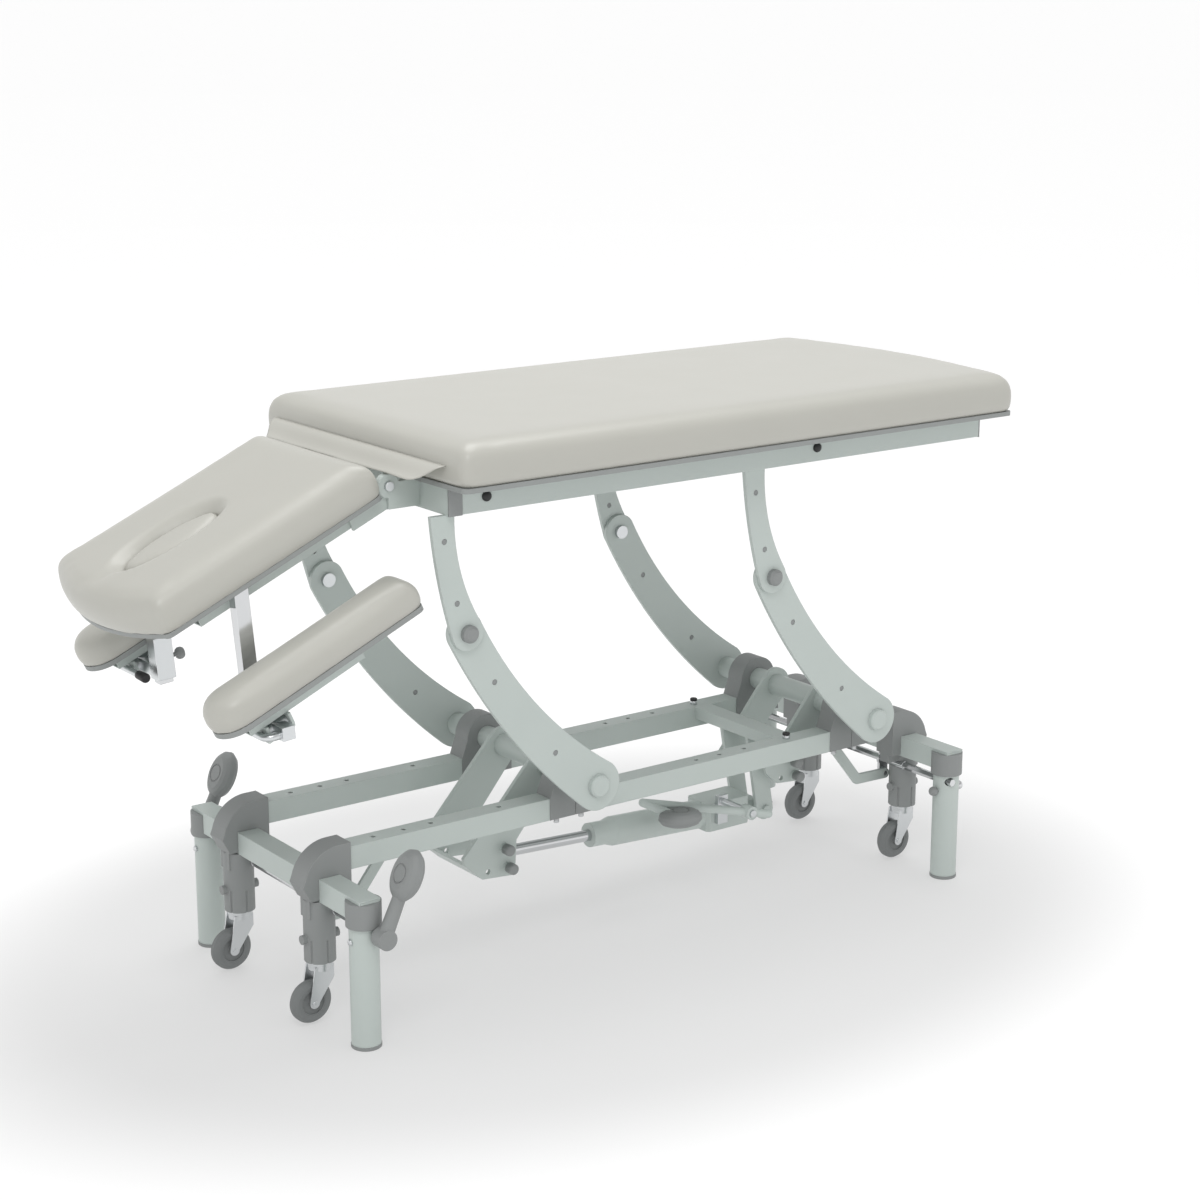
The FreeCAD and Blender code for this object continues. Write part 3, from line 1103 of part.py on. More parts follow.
def gap_flap():
    """A sewn vinyl flap over the gap between the main and head sections."""
    top = vec(MAIN_HEAD_X - SMALL_GAP, 0, FLAP_TOP_Z)
    out = top + vec(-FLAP_STAND, 0, -FLAP_STAND)
    low = top + vec(-FLAP_STAND - 3, 0, -FLAP_LENGTH)
    t = FLAP_THICKNESS
    bend = top + vec(-FLAP_STAND * 0.72, 0, -2)
    edges = [arc(top, bend, out), line(out, low), line(low, low + vec(t, 0, 0)),
             line(low + vec(t, 0, 0), out + vec(t, 0, 0)),
             arc(out + vec(t, 0, 0), bend + vec(t * 0.7, 0, -t), top + vec(0, 0, -t)),
             line(top + vec(0, 0, -t), top)]
    return [slab(flat_face(edges), -FLAP_HALF, FLAP_HALF)]


def all_nodes():
    """Every node of the table with its solids, in the base's own frame."""
    nodes = {
        "head_cross_tube": cross_tube(-1),
        "foot_cross_tube": cross_tube(1),
        "side_rails": side_rails(),
        "legs": legs(),
        "leg_collars": leg_collars(),
        "leg_rings": leg_rings(),
        "castor_housings": castor_housings(),
        "pivot_blocks": pivot_blocks(),
        "cylinder_bracket": cylinder_bracket(),
        "levelling_foot": levelling_foot(),
        "castor_stems": castor_stems(),
        "head_castor_rod": castor_rod(-1, PEDAL_INNER + PEDAL_BOSS_LENGTH * 0.6),
        "castor_pedals": castor_pedals(),
        "castor_link": castor_link(),
        "foot_castor_rod": castor_rod(1, LEG_Y + LEG_RADIUS + 4),
        "lift_cylinder": lift_cylinder(),
        "pump_pin": pump_pin(),
        "piston_rod": piston_rod(),
        "pump_pedal_bar": pump_pedal_bar(),
        "pump_pedal_pad": pump_pedal_pad(),
        "upper_rails": upper_rails(),
        "upper_head_tube": upper_head_tube(),
        "upper_foot_tube": upper_foot_tube(),
        "rail_end_caps": rail_end_caps(),
        "upper_plates": upper_plates(),
        "pivot_bolts": pivot_bolts(),
        "pivot_caps": pivot_caps(),
        "hinge_brackets": hinge_brackets(),
        "main_board": main_board(),
        "main_cushion": main_cushion(),
        "gap_flap": gap_flap(),
        "head_frame": head_frame(),
        "hinge_pins": hinge_pins(),
        "armrest_posts": armrest_posts(),
        "head_board": head_board(),
        "head_cushion": head_cushion(),
        "face_plug": face_plug(),
    }
    for end, px in zip(("head", "foot"), PIVOT_X):
        far_arm, near_arm = both_sides(lift_arm(px))
        nodes[end + "_torque_tube"] = torque_tube(px)
        nodes[end + "_arm_near"] = [near_arm]
        nodes[end + "_arm_far"] = [far_arm]
        nodes[end + "_levers"] = lever_plates(px, 1.0 if end == "head" else FOOT_LEVER_SHARE)
    makers = {"armrest_carrier": [armrest_carrier()], "armrest_bracket": [armrest_bracket()],
              "armrest_pad": armrest_pad()}
    for name, solids in makers.items():
        nodes[name + "_far"] = solids
        nodes[name + "_near"] = [both_sides(s)[1] for s in solids]
    for end, sx in (("head", -1), ("foot", 1)):
        for side, sy in (("near", -1), ("far", 1)):
            nodes[f"castor_fork_{end}_{side}"] = castor_fork(sx, sy)
            nodes[f"castor_wheel_{end}_{side}"] = castor_wheel(sx, sy)
    return nodes


def centred(nodes):
    """Move everything so that the origin is on the floor, at the middle of the table's box."""
    box = FreeCAD.BoundBox()
    for solids in nodes.values():
        for solid in solids:
            box.add(solid.optimalBoundingBox(True, False))
    shift = vec(-box.Center.x, -box.Center.y, -box.ZMin)
    for solids in nodes.values():
        for solid in solids:
            solid.translate(shift)
    return shift


NODES = all_nodes()
SHIFT = centred(NODES)
os.makedirs("parts", exist_ok=True)
for node, node_solids in NODES.items():
    shape = node_solids[0] if len(node_solids) == 1 else Part.makeCompound(node_solids)
    shape.exportStep("parts/" + node + ".step")
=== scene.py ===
import json
import math
import bmesh
import bpy
from mathutils import Matrix, Vector


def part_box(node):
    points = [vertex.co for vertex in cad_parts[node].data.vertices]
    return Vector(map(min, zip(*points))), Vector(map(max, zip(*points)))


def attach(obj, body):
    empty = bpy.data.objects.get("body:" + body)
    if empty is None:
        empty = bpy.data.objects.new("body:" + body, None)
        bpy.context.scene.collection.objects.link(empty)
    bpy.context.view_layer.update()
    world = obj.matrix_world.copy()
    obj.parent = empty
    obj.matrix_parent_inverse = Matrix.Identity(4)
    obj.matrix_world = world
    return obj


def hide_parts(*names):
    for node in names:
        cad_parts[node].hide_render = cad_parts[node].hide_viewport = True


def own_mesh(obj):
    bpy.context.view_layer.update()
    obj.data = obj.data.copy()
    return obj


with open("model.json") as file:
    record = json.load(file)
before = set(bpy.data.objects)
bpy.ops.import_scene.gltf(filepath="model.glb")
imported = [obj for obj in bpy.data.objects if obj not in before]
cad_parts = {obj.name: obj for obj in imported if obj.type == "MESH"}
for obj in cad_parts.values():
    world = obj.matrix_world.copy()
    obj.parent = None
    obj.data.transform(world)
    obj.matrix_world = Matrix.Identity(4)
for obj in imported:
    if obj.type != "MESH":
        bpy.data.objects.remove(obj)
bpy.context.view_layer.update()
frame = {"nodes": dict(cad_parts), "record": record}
nodes = frame["nodes"]
slot_of = {s["node"]: s["material_slot"] for s in frame["record"]["subparts"]}

# The frame: welded tube and plate under a pale green-grey powder coat with a faint orange peel.
# Moulded grey covers, chrome and plated steel, rubber and boards complete the hard pieces, and
# each finish is made once here and given to every solid that the record puts in its slot.


def put(tree, kind, **values):
    """Add a node; values whose names are sockets go to the sockets, the rest to the node."""
    node = tree.nodes.new(kind)
    for name, value in values.items():
        label = name.replace("_", " ")
        if label in node.inputs:
            node.inputs[label].default_value = value
        else:
            setattr(node, name, value)
    return node


def effect(name, sockets):
    """An empty shader node group with the given sockets: (in or out, name, type, default)."""
    tree = bpy.data.node_groups.new(name, "ShaderNodeTree")
    for way, label, kind, start in sockets:
        socket = tree.interface.new_socket(label, in_out=way, socket_type="NodeSocket" + kind)
        if start is not None:
            socket.default_value = start
    return tree, tree.nodes.new("NodeGroupInput"), tree.nodes.new("NodeGroupOutput")


# Grain: a fine bump and a slow mottle, both measured in metres on the piece itself
grain, grain_in, grain_out = effect("grain", [
    ("INPUT", "Size", "Float", 0.002), ("INPUT", "Depth", "Float", 0.0001),
    ("INPUT", "Normal", "Vector", None),
    ("OUTPUT", "Normal", "Vector", None), ("OUTPUT", "Mottle", "Float", None)])
place = put(grain, "ShaderNodeTexCoord")
rate = put(grain, "ShaderNodeMath", operation="DIVIDE")
rate.inputs[0].default_value = 1.0
grain.links.new(grain_in.outputs["Size"], rate.inputs[1])
speck = put(grain, "ShaderNodeTexNoise", Detail=3.0, Roughness=0.55)
grain.links.new(place.outputs["Object"], speck.inputs["Vector"])
grain.links.new(rate.outputs[0], speck.inputs["Scale"])
bump = put(grain, "ShaderNodeBump", Strength=1.0)
grain.links.new(speck.outputs["Fac"], bump.inputs["Height"])
grain.links.new(grain_in.outputs["Depth"], bump.inputs["Distance"])
grain.links.new(grain_in.outputs["Normal"], bump.inputs["Normal"])
grain.links.new(bump.outputs["Normal"], grain_out.inputs["Normal"])
slow = put(grain, "ShaderNodeTexNoise", Scale=9.0, Detail=4.0)
grain.links.new(place.outputs["Object"], slow.inputs["Vector"])
grain.links.new(slow.outputs["Fac"], grain_out.inputs["Mottle"])

# Edges: a rounded shading normal on sharp metal edges, and how strongly a point lies on one, which sets
# where a highlight is painted
edges, edges_in, edges_out = effect("edges", [
    ("INPUT", "Radius", "Float", 0.0015), ("OUTPUT", "Normal", "Vector", None),
    ("OUTPUT", "Edge", "Float", None)])
soft = put(edges, "ShaderNodeBevel", samples=6)
edges.links.new(edges_in.outputs["Radius"], soft.inputs["Radius"])
edges.links.new(soft.outputs["Normal"], edges_out.inputs["Normal"])
flat = put(edges, "ShaderNodeNewGeometry")
facing = put(edges, "ShaderNodeVectorMath", operation="DOT_PRODUCT")
edges.links.new(soft.outputs["Normal"], facing.inputs[0])
edges.links.new(flat.outputs["True Normal"], facing.inputs[1])
# Painted highlight mask: near 1 on sharp edges, 0 on flat faces.
edge_highlight_ramp = put(edges, "ShaderNodeMapRange")
edge_highlight_ramp.inputs["From Min"].default_value = 0.98
edge_highlight_ramp.inputs["From Max"].default_value = 0.80
edges.links.new(facing.outputs["Value"], edge_highlight_ramp.inputs["Value"])
edges.links.new(edge_highlight_ramp.outputs["Result"], edges_out.inputs["Edge"])


def finish_material(name, low, high, edge, rough, grain_size, grain_depth, bevel, metal=0.0):
    """A material whose colour drifts between two tones and is lightened on its edges, a painted
    highlight.
    """
    made = bpy.data.materials.new(name)
    made.use_nodes = True
    tree = made.node_tree
    skin = tree.nodes["Principled BSDF"]
    skin.inputs["Metallic"].default_value = metal
    rim = put(tree, "ShaderNodeGroup", node_tree=edges)
    rim.inputs["Radius"].default_value = bevel
    fine = put(tree, "ShaderNodeGroup", node_tree=grain)
    fine.inputs["Size"].default_value = grain_size
    fine.inputs["Depth"].default_value = grain_depth
    tree.links.new(rim.outputs["Normal"], fine.inputs["Normal"])
    tone = put(tree, "ShaderNodeMix", data_type="RGBA")
    tone.inputs[6].default_value = (*low, 1)
    tone.inputs[7].default_value = (*high, 1)
    tree.links.new(fine.outputs["Mottle"], tone.inputs[0])
    # Painted highlight: sharp edges are lightened towards the edge tone.
    edge_highlight = put(tree, "ShaderNodeMix", data_type="RGBA")
    edge_highlight.inputs[7].default_value = (*edge, 1)
    tree.links.new(rim.outputs["Edge"], edge_highlight.inputs[0])
    tree.links.new(tone.outputs[2], edge_highlight.inputs[6])
    tree.links.new(edge_highlight.outputs[2], skin.inputs["Base Color"])
    polish = put(tree, "ShaderNodeMapRange")
    polish.inputs["To Min"].default_value = rough - 0.05
    polish.inputs["To Max"].default_value = rough + 0.06
    tree.links.new(fine.outputs["Mottle"], polish.inputs["Value"])
    tree.links.new(polish.outputs["Result"], skin.inputs["Roughness"])
    tree.links.new(fine.outputs["Normal"], skin.inputs["Normal"])
    return made


paint = finish_material("frame_paint", (0.49, 0.545, 0.52), (0.53, 0.585, 0.56), (0.60, 0.65, 0.63),
                        rough=0.42, grain_size=0.0016, grain_depth=0.00006, bevel=0.0020)
casting = finish_material("casting_grey", (0.245, 0.257, 0.255), (0.28, 0.292, 0.29), (0.34, 0.35, 0.35),
                          rough=0.55, grain_size=0.0010, grain_depth=0.00008, bevel=0.0022)
chrome = finish_material("chrome", (0.60, 0.61, 0.62), (0.66, 0.67, 0.68), (0.80, 0.81, 0.82),
                         rough=0.12, grain_size=0.004, grain_depth=0.00001, bevel=0.0010, metal=1.0)
plated = finish_material("plated_steel", (0.60, 0.62, 0.63), (0.70, 0.72, 0.73), (0.82, 0.83, 0.84),
                         rough=0.28, grain_size=0.0008, grain_depth=0.00002, bevel=0.0010, metal=1.0)
black = finish_material("black_rubber", (0.012, 0.012, 0.013), (0.020, 0.020, 0.021), (0.05, 0.05, 0.05),
                        rough=0.5, grain_size=0.0008, grain_depth=0.00008, bevel=0.0012)
tyre = finish_material("grey_tyre", (0.17, 0.18, 0.18), (0.21, 0.22, 0.22), (0.27, 0.28, 0.28),
                       rough=0.6, grain_size=0.0007, grain_depth=0.00010, bevel=0.0015)
board = finish_material("board_edge", (0.27, 0.285, 0.28), (0.30, 0.315, 0.31), (0.36, 0.37, 0.37),
                        rough=0.5, grain_size=0.0012, grain_depth=0.00008, bevel=0.0015)
finish_of = {"frame_paint": paint, "casting_grey": casting, "chrome": chrome, "plated_steel": plated,
             "black_rubber": black, "grey_tyre": tyre, "board_edge": board}
for node, slot in slot_of.items():
    if slot in finish_of:
        mesh = nodes[node].data
        mesh.materials.clear()
        mesh.materials.append(finish_of[slot])

# The upholstery: foam under a warm light-grey vinyl with a fine pressed grain.
# The skin is drawn tight over round edges and stapled under each board.
vinyl = finish_material("vinyl", (0.465, 0.461, 0.420), (0.487, 0.483, 0.442), (0.497, 0.493, 0.452),
                        rough=0.34, grain_size=0.0011, grain_depth=0.00006, bevel=0.0004)


def highest_solid(node, name, up, material):
    """A copy of the solid that lies highest in a node along a direction, its corners welded."""
    mesh = nodes[node].data.copy()
    mesh.name = name
    mesh.materials.clear()
    mesh.materials.append(material)
    form = bmesh.new()
    form.from_mesh(mesh)
    bmesh.ops.remove_doubles(form, verts=form.verts, dist=1e-5)
    left = set(form.verts)
    groups = []
    while left:
        first = left.pop()
        group, queue = [first], [first]
        while queue:
            for edge in queue.pop().link_edges:
                for other in edge.verts:
                    if other in left:
                        left.remove(other)
                        group.append(other)
                        queue.append(other)
        groups.append(group)
    groups.sort(key=lambda g: sum(v.co.dot(up) for v in g) / len(g))
    for group in groups[:-1]:
        bmesh.ops.delete(form, geom=group, context="VERTS")
    bmesh.ops.recalc_face_normals(form, faces=form.faces)
    form.to_mesh(mesh)
    form.free()
    piece = bpy.data.objects.new(name, mesh)
    bpy.context.collection.objects.link(piece)
    return piece


held_band = 0.010       # height of the edge that is stapled to the board
seat_depth = 0.0045     # how far the cushion is pulled down over its board
seat_band = 0.035       # height over which that pull fades


def stuffed(node, name, voxel, cap, up):
    """A cushion grown from its solid: remeshed, blown up as sewn cloth, held along its base."""
    up = Vector(up)
    piece = highest_solid(node, name, up, vinyl)
    remesh = piece.modifiers.new("remesh", "REMESH")
    remesh.mode = "VOXEL"
    remesh.voxel_size = voxel
    remesh.use_smooth_shade = True
    ease = piece.modifiers.new("ease", "CORRECTIVE_SMOOTH")
    ease.use_only_smooth = True
    ease.iterations = 6
    graph = bpy.context.evaluated_depsgraph_get()
    piece.data = bpy.data.meshes.new_from_object(piece.evaluated_get(graph))
    piece.modifiers.clear()
    rest = [v.co.copy() for v in piece.data.vertices]
    floor_level = min(p.dot(up) for p in rest)
    held = piece.vertex_groups.new(name="held")
    held.add([i for i, p in enumerate(rest) if p.dot(up) < floor_level + held_band], 1.0, "REPLACE")
    cloth = piece.modifiers.new("cloth", "CLOTH")
    cloth.settings.quality = 4
    cloth.settings.use_pressure = True
    cloth.settings.uniform_pressure_force = 4.0
    cloth.settings.effector_weights.gravity = 0.0
    cloth.settings.vertex_group_mass = "held"
    cloth.settings.tension_stiffness = 25.0
    cloth.settings.bending_stiffness = 2.0
    for step in range(1, 15):
        bpy.context.scene.frame_set(step)
    graph = bpy.context.evaluated_depsgraph_get()
    blown = piece.evaluated_get(graph).to_mesh()
    for vertex, grown, start in zip(piece.data.vertices, blown.vertices, rest):
        move = grown.co - start
        if move.length > cap:
            move *= cap / move.length
        vertex.co = start + move
    piece.modifiers.clear()
    piece.vertex_groups.clear()
    bpy.context.scene.frame_set(1)
    form = bmesh.new()
    form.from_mesh(piece.data)
    for step in range(8):
        bmesh.ops.smooth_vert(form, verts=form.verts, factor=0.5,
                              use_axis_x=True, use_axis_y=True, use_axis_z=True)
    form.to_mesh(piece.data)
    form.free()
    for vertex, start in zip(piece.data.vertices, rest):
        share = min((start.dot(up) - floor_level) / seat_band, 1.0)
        vertex.co -= up * seat_depth * (1 - share * share * (3 - 2 * share))
    return piece


level = (0.0, 0.0, 1.0)
main_cushion = stuffed("main_cushion", "main_upholstery", 0.007, 0.003, level)
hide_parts("main_cushion")
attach(main_cushion, "upper_frame")

# The head section lies tilted on its hinge; its pieces are placed along, across and above its board.
# Its cushion has an oval breathing hole whose skin is drawn down and inwards all round.
base_low, base_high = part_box("legs")
base_x = (base_low[0] + base_high[0]) / 2
on_head = (Matrix.Translation((base_x - 0.525, 0, 0.905)) @ Matrix.Rotation(math.radians(-23.9), 4, "Y")
           @ Matrix.Translation((-0.025, 0, -0.006)))
head_up = on_head.to_3x3() @ Vector((0, 0, 1))
head_cushion = stuffed("head_cushion", "head_upholstery", 0.005, 0.002, head_up)
to_head = on_head.inverted()
hole_middle, hole_long, hole_wide = 0.292, 0.092, 0.040
rim_width, rim_dip = 0.024, 0.010
dip_from, dip_band = 0.025, 0.045
for vertex in head_cushion.data.vertices:
    spot = to_head @ vertex.co
    along, across = (-spot.x - hole_middle) / hole_long, spot.y / hole_wide
    ring = max(math.hypot(along, across), 0.05)
    slope = math.hypot(along / hole_long, across / hole_wide) / ring
    away = min(max((ring - 1) / slope / rim_width, 0.0), 1.0)
    near_top = min(max((spot.z - dip_from) / dip_band, 0.0), 1.0)
    spot.z -= rim_dip * (1 - away * away * (3 - 2 * away)) * near_top
    vertex.co = on_head @ spot
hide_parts("head_cushion")
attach(head_cushion, "head_section")

# The plug that closes the breathing hole is a small oval pad of the same foam and vinyl.
# It lifts straight out of the head cushion.
plug = stuffed("face_plug", "face_plug_pad", 0.004, 0.0008, head_up)
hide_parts("face_plug")
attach(plug, "face_plug_body")

# The armrests: a long foam pad with a round nose on a thin board, one each side.
# Each pad is pulled over its board's edge, which shows as a grey line below it.
for side in ("near", "far"):
    node = "armrest_pad_" + side
    pad = stuffed(node, "armrest_cushion_" + side, 0.005, 0.002, head_up)
    pad_board = highest_solid(node, "armrest_board_" + side, -head_up, board)
    for piece, slot in ((pad, "vinyl"), (pad_board, "board_edge")):
        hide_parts(node)
        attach(piece, "armrest_" + side)

# The gap flap: a strip of the same vinyl sewn along the main cushion's head end.
# It runs down and forward into the gap, cut back at both ends, its free edge a little uneven.
flap_profile = [(-0.4880, 0.9525), (-0.4945, 0.9518), (-0.5005, 0.9496), (-0.5060, 0.9460),
                (-0.5110, 0.9415), (-0.5160, 0.9368), (-0.5215, 0.9328), (-0.5270, 0.9302),
                (-0.5325, 0.9290)]
flap_half, flap_cut, flap_thickness = 0.277, 0.045, 0.0014
flap_form = bmesh.new()
rows = []
columns = 96
for i in range(columns + 1):
    place = 2 * i / columns - 1
    row = []
    for j, (x, z) in enumerate(flap_profile):
        share = j / (len(flap_profile) - 1)
        y = place * (flap_half - flap_cut * share ** 1.5)
        sway = share * (0.0006 * math.sin(y * 31) + 0.0004 * math.sin(y * 73 + 1))
        row.append(flap_form.verts.new((base_x + x + sway, y, z + 0.4 * sway)))
    rows.append(row)
for a, b in zip(rows, rows[1:]):
    for j in range(len(flap_profile) - 1):
        flap_form.faces.new((a[j], b[j], b[j + 1], a[j + 1]))
bmesh.ops.recalc_face_normals(flap_form, faces=flap_form.faces)
bmesh.ops.solidify(flap_form, geom=flap_form.faces[:], thickness=flap_thickness)
for face in flap_form.faces:
    face.smooth = True
flap_mesh = bpy.data.meshes.new("gap_flap_sheet")
flap_form.to_mesh(flap_mesh)
flap_form.free()
flap_mesh.materials.append(vinyl)
flap = bpy.data.objects.new("gap_flap_sheet", flap_mesh)
bpy.context.collection.objects.link(flap)
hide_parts("gap_flap")
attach(flap, "upper_frame")
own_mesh(flap)

# Small turned fittings: round-headed knobs on the rails, screws on legs and housings, bolt ends.
# All are plain catalogue pieces, so they share one lathe-like maker.


def turned(name, profile, start, way, material, body, sides=24):
    """A solid spun from (distance along, radius) pairs about a line from start."""
    form = bmesh.new()
    way = Vector(way).normalized()
    across = way.orthogonal().normalized()
    third = way.cross(across)
    rings = []
    for run, radius in profile:
        ring = []
        for i in range(sides):
            turn = 2 * math.pi * i / sides
            out = across * math.cos(turn) + third * math.sin(turn)
            ring.append(form.verts.new(Vector(start) + way * run + out * radius))
        rings.append(ring)
    for a, b in zip(rings, rings[1:]):
        for i in range(sides):
            form.faces.new((a[i], a[(i + 1) % sides], b[(i + 1) % sides], b[i]))
    form.faces.new(rings[0][::-1])
    form.faces.new(rings[-1])
    bmesh.ops.recalc_face_normals(form, faces=form.faces)
    for face in form.faces:
        face.smooth = len(face.verts) == 4
    mesh = bpy.data.meshes.new(name)
    form.to_mesh(mesh)
    form.free()
    mesh.materials.append(material)
    piece = bpy.data.objects.new(name, mesh)
    bpy.context.collection.objects.link(piece)
    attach(piece, body)
    return piece


rail_y, leg_x, leg_y = 0.141, 0.656, 0.2715
leg_radius = 0.025
pivot_x, pivot_z = {"head": -0.152, "foot": 0.506}, 0.337
knob = [(-0.001, 0.0085), (0.002, 0.0088), (0.004, 0.0080), (0.0058, 0.0060), (0.0068, 0.0030),
        (0.0070, 0.0008)]
screw = [(-0.002, 0.0042), (0.001, 0.0055), (0.0022, 0.0055), (0.0036, 0.0042), (0.0042, 0.0015)]
stud = [(-0.001, 0.0085), (0.004, 0.0085), (0.0045, 0.0050), (0.014, 0.0050), (0.015, 0.0040)]
for side, sign in (("near", -1), ("far", 1)):
    for end, x in (("head", -0.393), ("foot", 0.322)):
        turned(f"rail_knob_{end}_{side}", knob, (base_x + x, sign * 0.250, 0.887), (0, sign, 0),
               black, "upper_frame")
    for end, x in pivot_x.items():
        for i, step in enumerate((-0.027, 0.027)):
            turned(f"block_stud_{end}_{side}_{i}", stud, (base_x + x + step, sign * rail_y, 0.264),
                   (0, 0, -1), plated, "base")
    turned(f"leg_screw_{side}", screw, (base_x - leg_x - leg_radius, sign * leg_y, 0.187), (-1, 0, 0),
           plated, "base")
    turned(f"housing_screw_{side}", screw, (base_x - 0.691, sign * rail_y, 0.234), (-1, 0, 0),
           plated, "base")

# The lever plates' pins end in dark moulded caps, and each foot-end rail carries a black socket screw
# on a bright spacer. Through the near leg at the foot end goes a bolt with a ball at each end,
# one chromed and one moulded.
cap = [(-0.014, 0.0098), (-0.001, 0.0102), (0.0015, 0.0098), (0.0028, 0.0080), (0.0032, 0.0030)]
spacer = [(-0.001, 0.0066), (0.0005, 0.0070), (0.0065, 0.0070), (0.0070, 0.0066)]
socket = [(0.0, 0.0062), (0.0005, 0.0072), (0.0040, 0.0072), (0.0048, 0.0062), (0.0048, 0.0036),
          (0.0026, 0.0034)]
spacer_x, spacer_foot, spacer_top = 0.357, 0.304, 0.311
pin_y = 0.092
for side, sign in (("near", -1), ("far", 1)):
    for end, share in (("head", 1.0), ("foot", 0.78)):
        for i, (run, drop) in enumerate(((-0.093, -0.142), (-0.086, -0.179))):
            start = (base_x + pivot_x[end] + run * share, sign * pin_y, pivot_z + drop * share)
            turned(f"pin_cap_{end}_lift_{side}_{i}", cap, start, (0, sign, 0), casting, end + "_lift")
    turned("rail_spacer_" + side, spacer, (base_x + spacer_x, sign * rail_y, spacer_foot), (0, 0, 1),
           plated, "base")
    turned("rail_socket_" + side, socket, (base_x + spacer_x, sign * rail_y, spacer_top), (0, 0, 1),
           black, "base")
ball_radius, ball_middle, ball_z = 0.0092, 0.0082, 0.180
ball = [(-0.002, 0.0055), (0.001, 0.0060)]
ball += [(ball_middle + ball_radius * math.sin(turn), ball_radius * math.cos(turn))
         for turn in (math.radians(a) for a in range(-40, 90, 16))]
turned("leg_stop_screw", ball, (base_x + leg_x + leg_radius, -leg_y, ball_z), (1, 0, 0),
       chrome, "base")
turned("leg_button", ball, (base_x + leg_x - leg_radius, -leg_y, ball_z), (-1, 0, 0),
       casting, "base")

# Dark grey discs sit in the drilled holes of the lift arms and of the hanger plates above them, so the
# holes show dark.
# They sit a little below both faces of the plate.
arm_run, arm_rise, bow = -0.2718, 0.3203, 0.024
arm_face, hanger_face = 0.230, 0.2385
arm_across = Vector((-arm_rise, 0, arm_run)).normalized()
dark_hole_disc = [(-0.0074, 0.0044), (-0.0068, 0.0049), (-0.0012, 0.0049), (-0.0006, 0.0044)]
for side, sign in (("near", -1), ("far", 1)):
    for end, x in pivot_x.items():
        foot = Vector((base_x + x, 0, pivot_z))
        top = foot + Vector((arm_run, 0, arm_rise))
        for i, share in enumerate((0.26, 0.72)):
            spot = top.lerp(foot, share) + arm_across * (4 * share * (1 - share) * bow)
            spot.y = sign * arm_face
            turned(f"arm_plug_{end}_{side}_{i}", dark_hole_disc, spot, (0, sign, 0), casting, end + "_lift")
        for i, (run, rise) in enumerate(((-0.044, 0.161), (-0.021, 0.054))):
            spot = top + Vector((run, sign * hanger_face, rise))
            turned(f"hanger_plug_{end}_{side}_{i}", dark_hole_disc, spot, (0, sign, 0), casting, "upper_frame")

# Flat plugs close the ends of the two cross tubes, in the same coat as the tubes.
# Each is a thin pressed plate with a small chamfer, pushed into the square tube.
tube_middle = 0.241
for end, x in (("head", -leg_x), ("foot", leg_x)):
    for side, sign in (("near", -1), ("far", 1)):
        form = bmesh.new()
        layers = []
        for half, out in ((0.0172, 0.2900), (0.0172, 0.2930), (0.0160, 0.2938)):
            layers.append([form.verts.new((base_x + x + a * half, sign * out, tube_middle + b * half))
                           for a, b in ((-1, -1), (1, -1), (1, 1), (-1, 1))])
        for a, b in zip(layers, layers[1:]):
            for i in range(4):
                form.faces.new((a[i], a[(i + 1) % 4], b[(i + 1) % 4], b[i]))
        form.faces.new(layers[0])
        form.faces.new(layers[-1])
        bmesh.ops.recalc_face_normals(form, faces=form.faces)
        mesh = bpy.data.meshes.new(f"tube_plug_{end}_{side}")
        form.to_mesh(mesh)
        form.free()
        mesh.materials.append(paint)
        plug_plate = bpy.data.objects.new(f"tube_plug_{end}_{side}", mesh)
        bpy.context.collection.objects.link(plug_plate)
        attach(plug_plate, "base")

# The armrest carriers: a clamp knob on each sleeve and a black grip on each grab rod.
# Sleeve, rod and post lean with the post.
on_post = on_head @ Matrix.Translation((-0.282, 0, 0)) @ Matrix.Rotation(math.radians(18.7), 4, "Y")
clamp = [(-0.002, 0.0040), (0.012, 0.0040), (0.0125, 0.0085), (0.016, 0.0105), (0.021, 0.0105),
         (0.0245, 0.0085), (0.026, 0.0040)]
grip = [(-0.003, 0.0062), (-0.002, 0.0078), (0.0, 0.0085), (0.020, 0.0080), (0.026, 0.0078),
        (0.027, 0.0062)]
for side, sign in (("near", -1), ("far", 1)):
    seat = on_post @ Vector((0.0165, sign * 0.160, -0.190))
    turned("sleeve_knob_" + side, clamp, seat, on_post.to_3x3() @ Vector((1, 0, 0)),
           casting, "carrier_" + side)
    tip = on_post @ Vector((-0.034, sign * 0.158, -0.217))
    turned("rod_grip_" + side, grip, tip, (0, sign, 0), black, "carrier_" + side)

# The studio: a white sweep, level under the table and turned up far behind it, in soft light.
# Near the table the sweep glows less in an oval round it, a painted shadow pool over the table's own cast
# shadow; further off it glows white.
sweep_form = bmesh.new()
sweep_rows = [(1.0, 0.0), (2.5, 0.0), (5.0, 0.0), (9.0, 0.0), (11.0, 0.25), (12.5, 1.0),
              (13.4, 2.2), (13.8, 3.6), (14.0, 5.0)]
sweep_sides = 96
sweep_rings = []
for reach, height in sweep_rows:
    ring = []
    for i in range(sweep_sides):
        turn = 2 * math.pi * i / sweep_sides
        ring.append(sweep_form.verts.new((reach * math.cos(turn), reach * math.sin(turn), height)))
    sweep_rings.append(ring)
sweep_form.faces.new(sweep_rings[0])
for a, b in zip(sweep_rings, sweep_rings[1:]):
    for i in range(sweep_sides):
        after = (i + 1) % sweep_sides
        sweep_form.faces.new((a[i], b[i], b[after], a[after]))
for face in sweep_form.faces:
    face.smooth = True
sweep_mesh = bpy.data.meshes.new("studio_sweep")
sweep_form.to_mesh(sweep_mesh)
sweep_form.free()
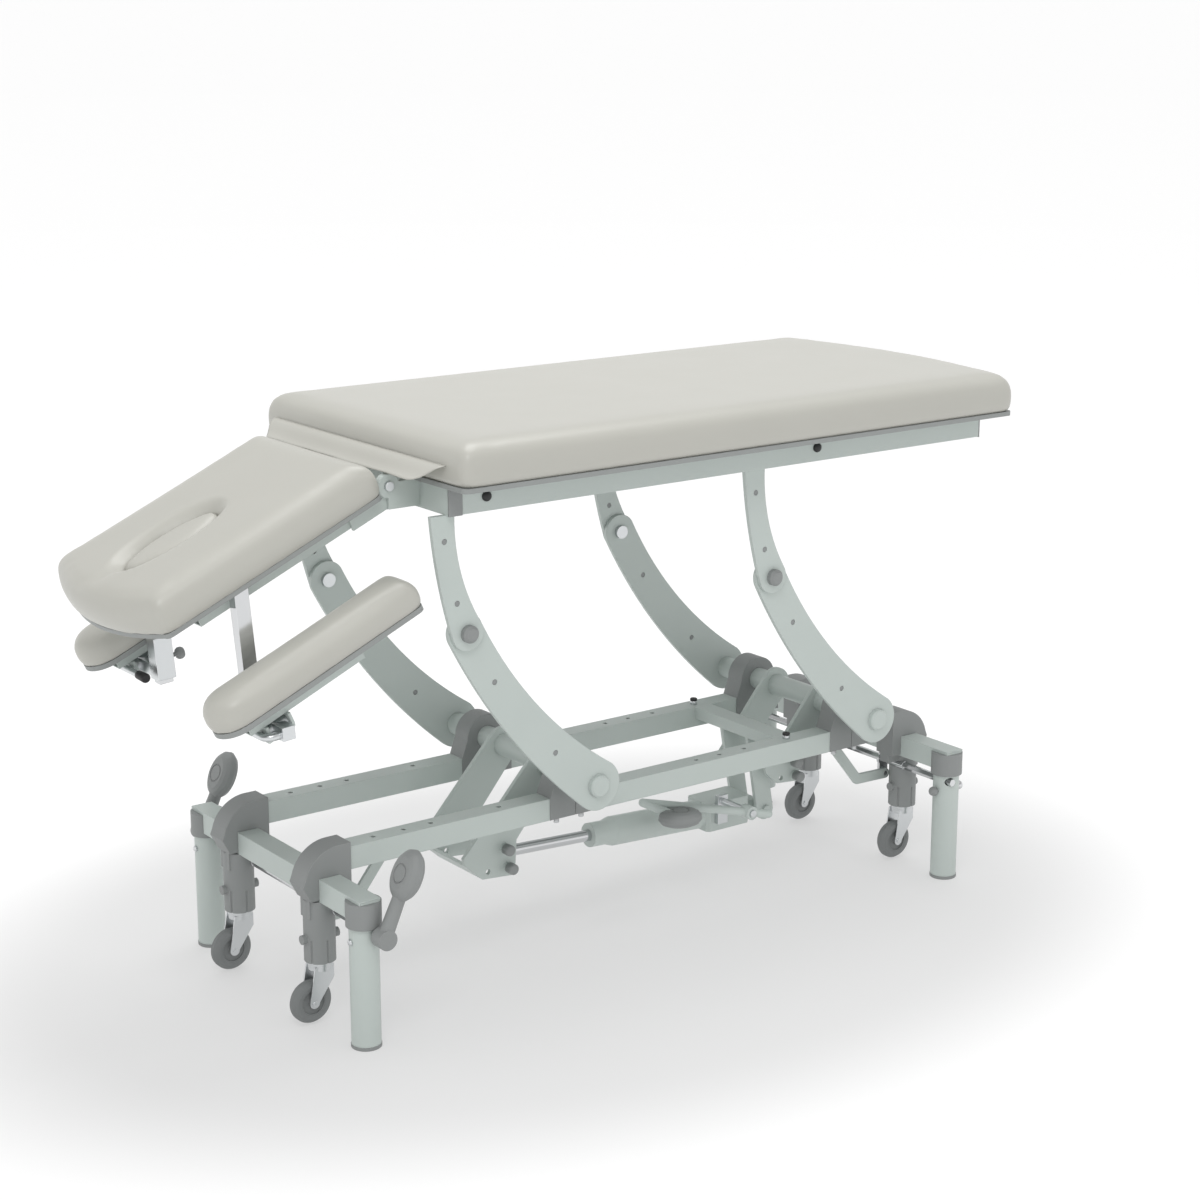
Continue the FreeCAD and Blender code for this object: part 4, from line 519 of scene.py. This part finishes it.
sweep = bpy.data.objects.new("studio_sweep", sweep_mesh)
bpy.context.collection.objects.link(sweep)
sweep_skin = bpy.data.materials.new("studio_sweep")
sweep_skin.use_nodes = True
tree = sweep_skin.node_tree
matt = tree.nodes["Principled BSDF"]
matt.inputs["Base Color"].default_value = (0.32, 0.32, 0.32, 1)
matt.inputs["Roughness"].default_value = 0.9
matt.inputs["Emission Color"].default_value = (1, 1, 1, 1)
place = put(tree, "ShaderNodeTexCoord")
oval = put(tree, "ShaderNodeVectorMath", operation="MULTIPLY")
oval.inputs[1].default_value = (1.0, 1.4, 0.0)
tree.links.new(place.outputs["Object"], oval.inputs[0])
reach = put(tree, "ShaderNodeVectorMath", operation="LENGTH")
tree.links.new(oval.outputs[0], reach.inputs[0])
# Painted shadow: the glow is lowest in an oval round the table and rises to white further off.
far = put(tree, "ShaderNodeMapRange", interpolation_type="SMOOTHSTEP")
far.inputs["From Min"].default_value = 0.92
far.inputs["From Max"].default_value = 1.50
far.inputs["To Min"].default_value = 0.47
far.inputs["To Max"].default_value = 0.72
tree.links.new(reach.outputs["Value"], far.inputs["Value"])
tree.links.new(far.outputs["Result"], matt.inputs["Emission Strength"])
sweep_mesh.materials.append(sweep_skin)

world = bpy.data.worlds.new("studio")
bpy.context.scene.world = world
world.use_nodes = True
sky = world.node_tree.nodes["Background"]
sky.inputs["Color"].default_value = (1.0, 1.0, 1.0, 1)
sky_place = put(world.node_tree, "ShaderNodeTexCoord")
sky_height = put(world.node_tree, "ShaderNodeSeparateXYZ")
world.node_tree.links.new(sky_place.outputs["Generated"], sky_height.inputs[0])
sky_ramp = put(world.node_tree, "ShaderNodeMapRange")
sky_ramp.inputs["To Min"].default_value = 0.30
sky_ramp.inputs["To Max"].default_value = 0.86
world.node_tree.links.new(sky_height.outputs["Z"], sky_ramp.inputs["Value"])
world.node_tree.links.new(sky_ramp.outputs["Result"], sky.inputs["Strength"])


def area_light(name, position, target, size, watts):
    lamp = bpy.data.lights.new(name, "AREA")
    lamp.shape = "DISK"
    lamp.size = size
    lamp.energy = watts
    holder = bpy.data.objects.new(name, lamp)
    bpy.context.collection.objects.link(holder)
    holder.location = position
    holder.rotation_euler = (Vector(target) - Vector(position)).to_track_quat("-Z", "Y").to_euler()


area_light("key_light", (-2.2, -2.6, 4.2), (0, 0, 0.5), 1.8, 45)
area_light("top_light", (0.6, 0.6, 4.5), (0, 0, 0.5), 3.0, 75)

# The camera stands as it did for the photograph, left of the head end and above the table.
eye = Vector((base_x - 2.5143, -3.4390, 1.6922))
aim = Vector((base_x + 0.0213, 0.0, 0.6483))
lens = bpy.data.cameras.new("camera")
lens.sensor_width = 36.0
lens.lens = 71.976
lens.shift_y = -0.0223
camera = bpy.data.objects.new("camera", lens)
bpy.context.collection.objects.link(camera)
camera.location = eye
camera.rotation_euler = (aim - eye).to_track_quat("-Z", "Y").to_euler()
bpy.context.scene.camera = camera
bpy.context.scene.view_settings.view_transform = "Standard"
